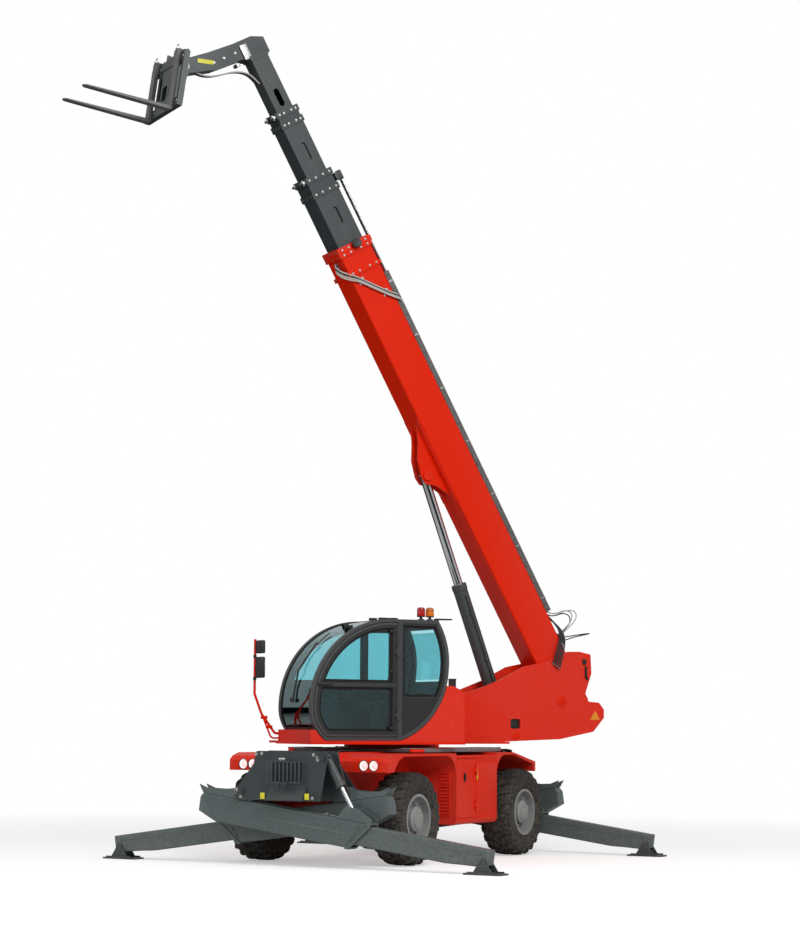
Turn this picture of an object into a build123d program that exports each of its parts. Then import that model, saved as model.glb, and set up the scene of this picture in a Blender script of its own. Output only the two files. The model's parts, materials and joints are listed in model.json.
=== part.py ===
from build123d import *
import math
import os

# Rotating telehandler with a telescoping boom, pallet forks and crossed stabilisers.
# Millimetres. The chassis points along +X, its left side along +Y, the ground is z = 0,
# and the slewing axis stands at x = y = 0 until the whole model is centred at the end.

# Clearances
running_gap = 0.05
seat_gap = 0.3
moving_gap = 5

# Wheels and axles
wheelbase = 2950
track = 2060
tyre_diameter = 1150
tyre_width = 445
tyre_shoulder = 50
rim_seat_diameter = 578
rim_wall = 12
rim_flange = 17
rim_half_width = 187
hub_diameter = 300
disc_offset = 80
disc_thickness = 20
kingpin_offset = 120
kingpin_diameter = 60
knuckle_diameter = 124
knuckle_height = 256
spindle_diameter = 100
spindle_length = 95
axle_tube_diameter = 150
differential_diameter = 380
yoke_width = 120
yoke_arm = 40

# Chassis
chassis_width = 940
chassis_bottom = 700
chassis_top = 1385
plate = 30
deck_front = 1050
deck_rear = -1300
deck_half_width = 1000
deck_thickness = 40
slew_race_outer = 1250
slew_race_height = 30
axle_pad_length = 300
steering_ahead = 170
steering_cylinder = 90
steering_cylinder_length = 760
drive_shaft = 80
gearbox_length = 460

# Fenders and side lockers
fender_width = 680
fender_nose = 2110
fender_top = 1370
fender_thickness = 30
nose_depth = 140
nose_bottom = 1150
lamp_pocket = 126
lamp_height = 1228
lamp_places = (805, 945)
lamp_depth = 70
rear_fender_end = 1960
rear_fender_low = 1240
arch_radius = 250
locker_front = 350
locker_rear = -800
locker_outer = 1150
locker_bottom = 460
locker_top = 1340
locker_corner = 60
locker_door_rear = -190
locker_door_thickness = 30
locker_depth = 400

# Stabilisers
outer_plane = 2475
inner_plane = 2250
beam_thickness = 180
beam_side_gap = 15
beam_wall = 12
frame_plate = 20
pivot_y = -660
pivot_z = 900
beam_top = -100
beam_depth = 330
beam_tail = 600
beam_mouth_top = 1860
beam_mouth_bottom = 1600
leg_thickness = 140
leg_top = -130
leg_depth = 250
leg_wall = 10
leg_end_rise = 35
long_edge = 18
mouth_collar = 12
leg_start = 1210
leg_end = 3470
foot_pin_along = 3400
foot_pin_drop = -280
foot_pin_height = 150
foot_length = 500
foot_width = 250
foot_plate = 20
pin_diameter = 70
foot_pin_diameter = 50
eye_along = 1560
grille_slots = 8
grille_pitch = 56
grille_middle = 12
tow_step_middle = 15
tow_step_width = 540
tow_step_reach = 90
jack_pin_y = 500
jack_pin_z = 1330
jack_diameter = 110
jack_rod_diameter = 55
jack_barrel_length = 415
jack_rod_length = 400
jack_eye_diameter = 90
jack_eye_width = 60

# Turret
slew_angle = -33.4
turret_floor = 1480
floor_plate = 30
boom_centre = -90
boom_angle = 60.5
boom_pivot_x = -2518
boom_pivot_z = 2060
boom_pin_diameter = 120
turret_plate = 30
turret_side_gap = 10
hood_front = 900
hood_rear = -1700
hood_outer = 1150
hood_top = 2080
hood_slope = 260
louvre_count = 9
louvre_pitch = 42
louvre_low = 120
louvre_slot = 18
louvre_length = 460
louvre_inset = 520
engine_middle = -750
engine_length = 1000
engine_width = 560
engine_height = 480
sheet = 25

# Cab
cab_inner = 225
cab_outer = 1200
cab_roof = 3060
cab_bottom = 1530
cab_wall = 50
cab_rear = -204
cab_pillar = 500
cab_front_radius = 1123
cab_front_arc_top = 620
cab_front_low = 1524
waist_rail = 2225
waist_bar = 60
door_gap = 8
door_thickness = 45
door_hinge_pin = 14
hinge_radius = 15
hinge_stand_off = 17
guard_top = 2226
guard_rear = -440
cab_rear_top = -45
bumper_top = 1660
bumper_front = 1740
mirror_tube = 32
mirror_bend = 60

# Boom: s runs along the boom from its pivot and t is square to it, up and back
boom_wall = 12
boom_rear = -200
boom_root = 600
boom_front = 6850
boom_top = 415
boom_bottom = -80
boom_width = 430
boom_collar = 420
collar_rise = 22
collar_band = 140
collar_rear_band = 60
boom_edge = 22
sections = [
    dict(start=2000, end=7870, top=375, bottom=-35, width=350, collar=300),
    dict(start=2850, end=8810, top=345, bottom=5, width=290, collar=240),
    dict(start=3700, end=9600, top=312, bottom=42, width=232, collar=0),
]
section_wall = 10
section_edge = 16
inspection_back = 620
section_collar_rise = 16
wear_pad = 150
inspection_hole = 250
inspection_height = 80
lift_eye_s = 3600
lift_eye_t = -270
lift_foot_x = -1799
lift_foot_z = 1586
lift_barrel_diameter = 195
lift_rod_diameter = 125
lift_barrel_length = 2165
lift_rod_length = 2100
lift_pin_diameter = 90
lift_eye_width = 130
lift_ear = 30
tray_y = 120
tray_width = 140
tray_height = 75
tray_sheet = 5
tray_start = 1150
tray_end = 6300
tray_feet = 800

# Boom head, carriage and forks
head_width = 200
head_socket = 14
tilt_pin_x = 3100
tilt_pin_z = 10200
fork_tilt = 8
carriage_width = 1150
carriage_plate = 75
carriage_front = 185
carriage_low = -680
inner_post = 230
fork_hook = 100
fork_spacing = 750
fork_width = 120
fork_thickness = 45
fork_length = 1200
fork_drop = -720
carriage_ear_gap = 8

pieces = []


def keep(part, label, place=Location()):
    """Puts a finished piece at its place under its own name."""
    placed = part.moved(place)
    placed.label = label
    pieces.append(placed)
    return placed


turret_place = Location((0, 0, 0), (0, 0, slew_angle))
boom_place = turret_place * Location((boom_pivot_x, boom_centre, boom_pivot_z), (0, -boom_angle, 0))


def boom_point(s, t):
    """A point of the boom's side plane in the turret's x and z."""
    angle = math.radians(boom_angle)
    x = boom_pivot_x + s * math.cos(angle) - t * math.sin(angle)
    z = boom_pivot_z + s * math.sin(angle) + t * math.cos(angle)
    return x, z


# Wheels, knuckles and axles
axle_height = tyre_diameter / 2
kingpin_y = track / 2 - kingpin_offset
rim_seat = rim_seat_diameter / 2


def wheel(name, x, side):
    place = Location((x, side * track / 2, axle_height), (0, 0, 0 if side > 0 else 180))
    half = tyre_width / 2
    outer = tyre_diameter / 2
    bead = rim_seat + seat_gap
    with BuildPart() as tyre:
        with BuildSketch(Plane.XY) as section:
            with BuildLine():
                Polyline(
                    (bead, -half + 42),
                    (bead + 26, -half + 36),
                    (bead + 80, -half + 8),
                    (outer - 150, -half),
                    (outer, -half),
                    (outer, half),
                    (outer - 150, half),
                    (bead + 80, half - 8),
                    (bead + 26, half - 36),
                    (bead, half - 42),
                    close=True,
                )
            make_face()
            corners = section.vertices().group_by(Axis.X)[-1]
            fillet(corners, tyre_shoulder)
        revolve(axis=Axis.Y)
    keep(tyre.part, "tyre_" + name, place)

    with BuildPart() as rim:
        with BuildSketch(Plane.XY):
            with BuildLine():
                Polyline(
                    (rim_seat - rim_wall, -rim_half_width - rim_wall),
                    (rim_seat + rim_flange, -rim_half_width - rim_wall),
                    (rim_seat + rim_flange, -rim_half_width),
                    (rim_seat, -rim_half_width),
                    (rim_seat, rim_half_width),
                    (rim_seat + rim_flange, rim_half_width),
                    (rim_seat + rim_flange, rim_half_width + rim_wall),
                    (rim_seat - rim_wall, rim_half_width + rim_wall),
                    (rim_seat - rim_wall, disc_offset + disc_thickness),
                    (hub_diameter / 2, disc_offset),
                    (hub_diameter / 2, 165),
                    (hub_diameter / 2 - 35, 190),
                    (0, 190),
                    (0, spindle_length + moving_gap),
                    (spindle_diameter / 2 + running_gap, spindle_length + moving_gap),
                    (spindle_diameter / 2 + running_gap, -40),
                    (hub_diameter / 2 - 25, -40),
                    (hub_diameter / 2, 20),
                    (hub_diameter / 2, disc_offset - disc_thickness),
                    (rim_seat - rim_wall, disc_offset),
                    close=True,
                )
            make_face()
        revolve(axis=Axis.Y)
    keep(rim.part, "rim_" + name, place)

    with BuildPart() as knuckle:
        with Locations((0, -kingpin_offset, 0)):
            Cylinder(knuckle_diameter / 2, knuckle_height)
            Cylinder(kingpin_diameter / 2, knuckle_height + 2 * yoke_arm + 2 * moving_gap)
        with BuildSketch(Plane.XZ.offset(kingpin_offset)):
            Circle(spindle_diameter / 2)
        extrude(amount=-kingpin_offset - spindle_length)
    keep(knuckle.part, "knuckle_" + name, place)


for end_name, end in (("front", 1), ("rear", -1)):
    for side_name, side in (("left", 1), ("right", -1)):
        wheel(end_name + "_" + side_name, end * wheelbase / 2, side)

with BuildPart() as axles:
    for end in (1, -1):
        with Locations((end * wheelbase / 2, 0, axle_height)):
            with Locations(Rotation(90, 0, 0)):
                Cylinder(axle_tube_diameter / 2, 2 * kingpin_y - 220)
                Cylinder(differential_diameter / 2, 180)
                with Locations((0, 0, 180)):
                    Cone(differential_diameter / 2, axle_tube_diameter / 2 + 10, 180)
                with Locations((0, 0, -180)):
                    Cone(axle_tube_diameter / 2 + 10, differential_diameter / 2, 180)
            for side in (1, -1):
                with Locations((0, side * (kingpin_y - 140), 0)):
                    Box(yoke_width, 60, knuckle_height + 2 * yoke_arm + 2 * moving_gap)
                for up in (1, -1):
                    arm_z = up * (knuckle_height / 2 + moving_gap + yoke_arm / 2)
                    with Locations((0, side * (kingpin_y - 55), arm_z)):
                        Box(yoke_width, 110, yoke_arm)
                    with Locations((0, side * kingpin_y, arm_z)):
                        Cylinder(yoke_width / 2, yoke_arm)
                with Locations((0, side * kingpin_y, 0)):
                    Cylinder(kingpin_diameter / 2 + running_gap, 2 * knuckle_height, mode=Mode.SUBTRACT)
                pad_height = chassis_bottom - axle_height
                with Locations((0, side * (chassis_width / 2 - plate / 2), pad_height / 2)):
                    Box(axle_pad_length, plate + 20, pad_height)
            inward = -end * differential_diameter / 2
            with Locations(Location((inward, 0, 0), (0, 90, 0))):
                Cylinder(90, 120)
            with Locations((end * steering_ahead, 0, 0)):
                with Locations(Rotation(90, 0, 0)):
                    Cylinder(steering_cylinder / 2, steering_cylinder_length)
                for y in (-steering_cylinder_length / 2 + 60, steering_cylinder_length / 2 - 60):
                    with Locations((-end * steering_ahead / 2, y, 0)):
                        Box(steering_ahead, 40, 60)
    shaft_length = wheelbase - differential_diameter
    with Locations(Location((0, 0, axle_height), (0, 90, 0))):
        Cylinder(drive_shaft / 2, shaft_length)
    with Locations((0, 0, axle_height + 20)):
        Box(gearbox_length, 300, 250)
    fillet(axles.edges().filter_by(Axis.X).filter_by(lambda e: abs(e.length - gearbox_length) < 1), 30)
keep(axles.part, "axles")

# Chassis frame: two side plates under a top plate, cross plates, the deck and the fixed slewing race
front_face = outer_plane + beam_thickness / 2 + beam_side_gap
middle_face = (outer_plane + inner_plane) / 2
rear_face = inner_plane - beam_thickness / 2 - beam_side_gap
chassis_length = 2 * (rear_face - frame_plate)
with BuildPart() as chassis:
    middle = (chassis_bottom + chassis_top) / 2
    with Locations((0, 0, middle)):
        Box(chassis_length, chassis_width, chassis_top - chassis_bottom)
    with Locations((0, 0, middle - plate)):
        Box(
            chassis_length - 2 * plate,
            chassis_width - 2 * plate,
            chassis_top - chassis_bottom,
            mode=Mode.SUBTRACT,
        )
    with Locations((800, 0, middle), (-800, 0, middle)):
        Box(plate, chassis_width - 2 * plate, chassis_top - chassis_bottom)
    with BuildSketch(Plane.XY.offset(chassis_top)):
        with Locations(((deck_front + deck_rear) / 2, 0)):
            RectangleRounded(deck_front - deck_rear, 2 * deck_half_width, 120)
    extrude(amount=deck_thickness)
    race_base = chassis_top + deck_thickness
    with BuildSketch(Plane.XY.offset(race_base)):
        Circle(slew_race_outer / 2)
    extrude(amount=slew_race_height)
keep(chassis.part, "chassis_frame")
race_top = race_base + slew_race_height

# Fenders: front ones with lamp noses, rear ones that slope down to the tail lamps
def fender_outline(stop, end):
    """The side outline of one fender in x and z, from the locker outwards."""
    under = fender_top - fender_thickness
    if end > 0:
        nose = [
            (fender_nose - nose_depth - 260, under),
            (fender_nose - nose_depth - 120, fender_top - 80),
            (fender_nose - nose_depth, nose_bottom),
            (fender_nose, nose_bottom),
            (fender_nose, fender_top - 90),
            (fender_nose - 60, fender_top - 40),
            (fender_nose - 200, fender_top),
        ]
    else:
        nose = [
            (-deck_rear, under),
            (rear_fender_end - 80, rear_fender_low - fender_thickness),
            (rear_fender_end - 60, rear_fender_low - 130),
            (rear_fender_end, rear_fender_low - 130),
            (rear_fender_end, rear_fender_low),
            (-deck_rear, fender_top),
        ]
    turn = arch_radius * (1 - math.sqrt(0.5))
    with BuildSketch(Plane.XZ) as side:
        with BuildLine():
            Line((end * stop, under - arch_radius), (end * stop, fender_top))
            Line((end * stop, fender_top), (end * nose[-1][0], nose[-1][1]))
            Polyline(*[(end * x, z) for x, z in nose])
            Line((end * nose[0][0], nose[0][1]), (end * (stop + arch_radius), under))
            ThreePointArc(
                (end * (stop + arch_radius), under),
                (end * (stop + turn), under - turn),
                (end * stop, under - arch_radius),
            )
        make_face()
    return side.sketch


with BuildPart() as fenders:
    for end in (1, -1):
        stop = locker_front + seat_gap if end > 0 else -locker_rear + seat_gap
        outline = fender_outline(stop, end)
        for side in (1, -1):
            middle = Location((0, side * (chassis_width / 2 + fender_width / 2), 0))
            extrude(outline.moved(middle), amount=fender_width / 2, dir=(0, 1, 0), both=True)
    for side in (1, -1):
        for y in lamp_places:
            with Locations(Location((fender_nose, side * y, lamp_height), (0, 90, 0))):
                Cylinder(lamp_pocket / 2, lamp_depth, mode=Mode.SUBTRACT)
keep(fenders.part, "fenders")


# Side lockers: the left one opens with a door, the right one is the closed tank
def locker(side):
    with BuildPart() as body:
        with BuildSketch(Plane.XY.offset(locker_bottom)):
            x_middle = (locker_front + locker_rear) / 2
            y_middle = (chassis_width / 2 + locker_outer) / 2
            with Locations((x_middle, side * y_middle)):
                Rectangle(locker_front - locker_rear, locker_outer - chassis_width / 2)
        extrude(amount=locker_top - locker_bottom)
        lower = body.edges().filter_by(Axis.X).group_by(Axis.Z)[0].sort_by(Axis.Y)
        fillet(lower[-1] if side > 0 else lower[0], locker_corner)
        if side > 0:
            door_x = (locker_front - 30 + locker_door_rear) / 2
            door_length = locker_front - 30 - locker_door_rear
            height = locker_top - locker_bottom - 120
            middle_z = (locker_top + locker_bottom) / 2 + 20
            with Locations((door_x, locker_outer - locker_depth / 2, middle_z)):
                Box(door_length, locker_depth + 1, height, mode=Mode.SUBTRACT)
    return body.part


keep(locker(-1), "side_tank")

locker_hinge_x = locker_door_rear + 2
locker_hinge_y = locker_outer + hinge_stand_off
locker_hinge_heights = (700, 1150)


def fixed_hinge(x, y, heights, pin):
    """Two outer knuckles and the pin of each hinge, on the side that stays."""
    for z in heights:
        for lug in (z - 45, z + 45):
            with Locations((x, y, lug)):
                Cylinder(hinge_radius, 38)
            with Locations((x - 20, y - 11, lug)):
                Box(40, 16, 38)
        with Locations((x, y, z)):
            Cylinder(pin / 2, 120)


def moving_hinge(x, y, heights, pin):
    """The knuckle between them, on the door, which runs along +X from it."""
    for z in heights:
        with Locations((x, y, z)):
            Cylinder(hinge_radius, 48)
        with Locations((x + 20, y - 11, z)):
            Box(40, 16, 48)
        with Locations((x, y, z)):
            Cylinder(pin / 2 + running_gap, 60, mode=Mode.SUBTRACT)


with BuildPart() as side_locker:
    add(locker(1))
    fixed_hinge(locker_hinge_x, locker_hinge_y, locker_hinge_heights, door_hinge_pin)
keep(side_locker.part, "side_locker")

with BuildPart() as locker_door:
    door_x = (locker_front - 30 + locker_door_rear) / 2
    door_length = locker_front - 30 - locker_door_rear - 2 * moving_gap
    height = locker_top - locker_bottom - 120 - 2 * moving_gap
    middle_z = (locker_top + locker_bottom) / 2 + 20
    with Locations((door_x, locker_outer - locker_door_thickness / 2, middle_z)):
        Box(door_length, locker_door_thickness, height)
    moving_hinge(locker_hinge_x, locker_hinge_y, locker_hinge_heights, door_hinge_pin)
keep(locker_door.part, "locker_door")

# Stabiliser frames: three plates that hold two crossed beams, the same at the rear turned half round
def frame_outline(lean):
    """One plate's outline in y and z; lean 1 is the front plate, -1 the rear one and 0 both in one."""
    tall = [(-740, 800), (-740, 915), (-440, 1290), (-430, 1400)]
    short = [(-490, 800), (-490, 830), (-585, 1350), (-560, 1400)]
    both = [(-740, 800), (-740, 915), (-620, 1250), (-585, 1395)]
    one, two = {1: (tall, short), -1: (short, tall), 0: (both, both)}[lean]
    return one + [(-y, z) for y, z in reversed(two)]


def stabiliser_frame():
    with BuildPart() as frame:
        for face, lean, thickness in (
            (front_face, 1, frame_plate),
            (middle_face - frame_plate / 2, 0, frame_plate),
            (rear_face - frame_plate, -1, frame_plate),
        ):
            with BuildSketch(Plane.YZ.offset(face)) as outline:
                Polygon(*frame_outline(lean), align=None)
                fillet(outline.vertices().group_by(Axis.Y)[-1], 25)
            extrude(amount=thickness)
        depth = front_face - rear_face
        with Locations(((front_face + rear_face) / 2, 0, 1290)):
            Box(depth, 560, 180)
        for plane, side in ((outer_plane, 1), (inner_plane, -1)):
            with BuildSketch(Plane.YZ.offset(plane - beam_thickness / 2 - beam_side_gap)):
                with Locations((side * pivot_y, pivot_z)):
                    Circle(pin_diameter / 2)
                with Locations((side * jack_pin_y, jack_pin_z)):
                    Circle(foot_pin_diameter / 2)
            extrude(amount=beam_thickness + 2 * beam_side_gap)
        # Grille slots, tow step and the pins' keeper plates on the outer face
        for slot in range(grille_slots):
            slot_y = grille_middle + (slot - (grille_slots - 1) / 2) * grille_pitch
            with Locations((front_face + frame_plate, slot_y, 1145)):
                Box(2 * frame_plate - 10, grille_pitch / 2, 230, mode=Mode.SUBTRACT)
        step_face = front_face + frame_plate
        for y in (tow_step_middle - tow_step_width / 2, tow_step_middle + tow_step_width / 2):
            with BuildSketch(Plane.XZ.offset(-y)):
                Polygon(
                    (step_face - 1, 1000),
                    (step_face, 1000),
                    (step_face + tow_step_reach, 830),
                    (step_face + tow_step_reach, 800),
                    (step_face - 1, 800),
                    align=None,
                )
            extrude(amount=6, both=True)
        with BuildSketch(Plane.XZ.offset(-tow_step_middle)):
            Polygon(
                (step_face - 1, 985),
                (step_face + tow_step_reach, 815),
                (step_face + tow_step_reach, 800),
                (step_face - 1, 965),
                align=None,
            )
        extrude(amount=tow_step_width / 2, both=True)
        for y, z in ((pivot_y, pivot_z), (jack_pin_y, jack_pin_z)):
            with Locations(Location((step_face + 8, y, z), (0, 90, 0))):
                Cylinder(pin_diameter / 2 + 12, 20)
    return frame.part


with BuildPart() as stabiliser_frames:
    add(stabiliser_frame())
    add(stabiliser_frame().moved(Location((0, 0, 0), (0, 0, 180))))
keep(stabiliser_frames.part, "stabiliser_frames")

# The beam leans so that its foot stands on the ground
low = pivot_z - foot_pin_height
reach = math.hypot(foot_pin_along, foot_pin_drop)
beam_lean = math.degrees(math.asin(low / reach) - math.atan2(-foot_pin_drop, foot_pin_along))


def beam_point(along, up):
    """A point of a beam in the frame's y and z, for a beam whose foot is on +y."""
    lean = math.radians(beam_lean)
    y = pivot_y + along * math.cos(lean) + up * math.sin(lean)
    z = pivot_z - along * math.sin(lean) + up * math.cos(lean)
    return y, z


eye_y, eye_z = beam_point(eye_along, 0)
jack_length = math.hypot(eye_y - jack_pin_y, eye_z - jack_pin_z)
jack_angle = math.degrees(math.atan2(jack_pin_z - eye_z, eye_y - jack_pin_y))


def stabiliser_beam():
    with BuildPart() as beam:
        beam_bottom = beam_top - beam_depth
        with BuildSketch(Plane.XZ):
            with BuildLine():
                Polyline(
                    (-beam_tail + 40, beam_top),
                    (beam_mouth_top, beam_top),
                    (beam_mouth_top, beam_top - 40),
                    (beam_mouth_bottom, beam_bottom),
                    (-beam_tail + 270, beam_bottom),
                    (-beam_tail, beam_bottom + 100),
                    (-beam_tail, beam_top - 60),
                    close=True,
                )
            make_face()
        extrude(amount=beam_thickness / 2, both=True)
        fillet(beam.edges().filter_by(lambda e: e.length > beam_mouth_bottom), long_edge)
        with BuildSketch(Plane.XZ):
            Polygon(
                (beam_mouth_top - 60, beam_top + mouth_collar),
                (beam_mouth_top, beam_top + mouth_collar),
                (beam_mouth_top, beam_top - 40),
                (beam_mouth_bottom, beam_bottom - mouth_collar),
                (beam_mouth_bottom - 60, beam_bottom - mouth_collar),
                (beam_mouth_top - 60, beam_top - 60),
                align=None,
            )
        extrude(amount=beam_thickness / 2 + mouth_collar, both=True)
        cavity = beam_mouth_top + 250
        with Locations((cavity / 2 - 250, 0, beam_top - beam_depth / 2)):
            Box(cavity, beam_thickness - 2 * beam_wall, beam_depth - 2 * beam_wall, mode=Mode.SUBTRACT)
        pad = beam_depth - beam_wall - (beam_top - leg_top) - leg_depth - seat_gap
        with Locations((beam_mouth_bottom - 90, 0, beam_bottom + beam_wall + pad / 2)):
            Box(150, leg_thickness - 2 * long_edge, pad)
        for side in (1, -1):
            ear = side * (beam_thickness / 2 - 12.5)
            with BuildSketch(Plane.XZ.offset(-ear)):
                Polygon(
                    (-beam_tail + 30, beam_top),
                    (-beam_tail - 40, beam_top + 90),
                    (-beam_tail + 90, beam_top + 60),
                    (-300, beam_top + 80),
                    (-90, 30),
                    (-40, 70),
                    (40, 70),
                    (80, 30),
                    (160, beam_top),
                    align=None,
                )
                Polygon(
                    (eye_along - 180, beam_top),
                    (eye_along - 70, 60),
                    (eye_along + 80, 60),
                    (beam_mouth_top, beam_top + 60),
                    (beam_mouth_top, beam_top),
                    align=None,
                )
            extrude(amount=12.5, both=True)
        with Locations(Rotation(90, 0, 0)):
            Cylinder(70, beam_thickness)
            Cylinder(pin_diameter / 2 + running_gap, 2 * beam_thickness, mode=Mode.SUBTRACT)
    return beam.part


def stabiliser_leg():
    with BuildPart() as leg:
        length = leg_end - leg_start
        leg_bottom = leg_top - leg_depth
        with BuildSketch(Plane.XZ):
            Polygon(
                (leg_start, leg_bottom),
                (leg_start, leg_top),
                (leg_end, leg_top),
                (leg_end, leg_bottom + 2 * leg_end_rise),
                (foot_pin_along - 60, leg_bottom + leg_end_rise),
                (foot_pin_along - foot_length, leg_bottom),
                align=None,
            )
        extrude(amount=leg_thickness / 2, both=True)
        fillet(leg.edges().filter_by(lambda e: e.length > length / 2), long_edge)
        with Locations((leg_start + length / 2 - 160, 0, leg_top - leg_depth / 2)):
            Box(
                length - 4 * foot_pin_diameter,
                leg_thickness - 2 * leg_wall,
                leg_depth - 2 * leg_wall,
                mode=Mode.SUBTRACT,
            )
        pad = beam_top - beam_wall - leg_top - seat_gap
        with Locations((leg_start + 75, 0, leg_top + pad / 2)):
            Box(150, leg_thickness - 2 * long_edge, pad)
        with Locations(Location((foot_pin_along, 0, foot_pin_drop), (90, 0, 0))):
            Cylinder(foot_pin_diameter / 2 + running_gap, 2 * leg_thickness, mode=Mode.SUBTRACT)
    return leg.part


def stabiliser_foot():
    with BuildPart() as foot:
        with BuildSketch(Plane.XY.offset(-foot_pin_height)):
            RectangleRounded(foot_length, foot_width, 40)
        extrude(amount=foot_plate)
        for y in (-foot_width / 2 + 20, foot_width / 2 - 20):
            with Locations((0, y, -foot_pin_height + foot_plate + 8)):
                Box(foot_length - 120, 10, 20)
        for side in (1, -1):
            with BuildSketch(Plane.XZ.offset(-side * (leg_thickness / 2 + moving_gap + 9))):
                Polygon(
                    (-130, -foot_pin_height + foot_plate),
                    (-45, 0),
                    (-30, 40),
                    (30, 40),
                    (45, 0),
                    (130, -foot_pin_height + foot_plate),
                    align=None,
                )
            extrude(amount=9, both=True)
        with Locations(Rotation(90, 0, 0)):
            Cylinder(foot_pin_diameter / 2, leg_thickness + 2 * moving_gap + 36)
    return foot.part


def cylinder_barrel(diameter, rod_diameter, length, pin, eye_width):
    """A barrel from its foot pin at the origin, along +X."""
    with BuildPart() as barrel:
        with BuildSketch(Plane.YZ.offset(pin / 2 + 15)):
            Circle(diameter / 2)
        extrude(amount=length - pin / 2 - 15)
        with Locations(Rotation(90, 0, 0)):
            Cylinder(pin / 2 + 20, eye_width)
        with Locations((pin / 2 + 5, 0, 0)):
            Box(pin, eye_width, pin + 10)
        with BuildSketch(Plane.YZ.offset(pin / 2 + 40)):
            Circle(rod_diameter / 2 + running_gap)
        extrude(amount=length, mode=Mode.SUBTRACT)
        with Locations(Rotation(90, 0, 0)):
            Cylinder(pin / 2 + running_gap, 2 * diameter, mode=Mode.SUBTRACT)
    return barrel.part


def cylinder_rod(rod_diameter, length, eye_diameter, eye_width):
    """A rod whose eye is at the origin and which runs along -X."""
    with BuildPart() as rod:
        with BuildSketch(Plane.YZ):
            Circle(rod_diameter / 2)
        extrude(amount=-length)
        with Locations(Rotation(90, 0, 0)):
            Cylinder(eye_diameter / 2, eye_width)
    return rod.part


for end_name, turn in (("front", 0), ("rear", 180)):
    for plane, side in ((outer_plane, 1), (inner_plane, -1)):
        side_name = "left" if (side > 0) == (turn == 0) else "right"
        name = end_name + "_" + side_name
        half_turn = Location((0, 0, 0), (0, 0, turn))
        base = half_turn * Location((plane, side * pivot_y, pivot_z), (0, 0, side * 90))
        beam_place = base * Location((0, 0, 0), (0, beam_lean, 0))
        keep(stabiliser_beam(), "stabiliser_beam_" + name, beam_place)
        keep(stabiliser_leg(), "stabiliser_leg_" + name, beam_place)
        foot_y, foot_z = beam_point(foot_pin_along, foot_pin_drop)
        foot_place = half_turn * Location((plane, side * foot_y, foot_z), (0, 0, side * 90))
        keep(stabiliser_foot(), "stabiliser_foot_" + name, foot_place)
        jack_place = half_turn * Location((plane, side * jack_pin_y, jack_pin_z), (0, 0, side * 90))
        jack_place = jack_place * Location((0, 0, 0), (0, jack_angle, 0))
        barrel = cylinder_barrel(
            jack_diameter, jack_rod_diameter, jack_barrel_length, foot_pin_diameter, jack_eye_width
        )
        keep(barrel, "stabiliser_barrel_" + name, jack_place)
        rod = cylinder_rod(jack_rod_diameter, jack_rod_length, jack_eye_diameter, jack_eye_width)
        keep(rod, "stabiliser_rod_" + name, jack_place * Location((jack_length, 0, 0)))

# Turret frame: the turning race, floor plate, the two boom plates and the tail weight
plate_inner = boom_width / 2 + turret_side_gap
left_plate = boom_centre + plate_inner
right_plate = boom_centre - plate_inner - turret_plate
turret_outline = [
    (-1342, turret_floor + 20),
    (750, turret_floor + 20),
    (750, 1640),
    (-300, 1850),
    (-760, 2060),
    (-980, 2150),
    (-1110, 2175),
    (-1276, 2233),
    (-1533, 2329),
    (-1922, 2522),
    (-2184, 2575),
    (-2404, 2643),
    (-2626, 2735),
    (-2804, 2738),
    (-2983, 2704),
    (-2996, 2445),
    (-2915, 2216),
    (-2883, 2121),
    (-2959, 2057),
    (-3116, 2047),
    (-3197, 1953),
    (-3197, 1839),
    (-3025, 1648),
    (-2492, 1545),
]
race_gap = race_top + seat_gap
with BuildPart() as turret:
    with BuildSketch(Plane.XY.offset(race_gap)):
        Circle(slew_race_outer / 2)
    extrude(amount=turret_floor + 1 - race_gap)
    with BuildSketch(Plane.XY.offset(turret_floor)):
        with Locations((-225, -492.5)):
            Rectangle(2950, 1315)
        with Locations((645, 677.5)):
            Rectangle(2190, 1045)
    extrude(amount=floor_plate)
    for y in (left_plate, right_plate):
        with BuildSketch(Plane.XZ.offset(-y)) as side_plate:
            Polygon(*turret_outline, align=None)
            fillet([v for v in side_plate.vertices() if v.X < -2850], 18)
            with Locations((-1790, 1750)):
                RectangleRounded(150, 130, 25, mode=Mode.SUBTRACT)
        extrude(amount=-turret_plate)
    with BuildSketch(Plane.XZ.offset(-right_plate)):
        Polygon(
            (-3150, 1800),
            (-2650, 1800),
            (-2600, 1700),
            (-2600, 1600),
            (-2851, 1625),
            (-3020, 1665),
            align=None,
        )
    extrude(amount=-(left_plate - right_plate + turret_plate))
    with Locations((lift_foot_x + 150, boom_centre, turret_floor)):
        Box(600, 2 * plate_inner, 200, mode=Mode.SUBTRACT)
    with BuildSketch(Plane.XZ.offset(-right_plate)):
        with Locations((boom_pivot_x, boom_pivot_z)):
            Circle(boom_pin_diameter / 2)
        with Locations((lift_foot_x, lift_foot_z)):
            Circle(lift_pin_diameter / 2)
    extrude(amount=-(left_plate - right_plate + turret_plate))
keep(turret.part, "turret_frame", turret_place)

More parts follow.
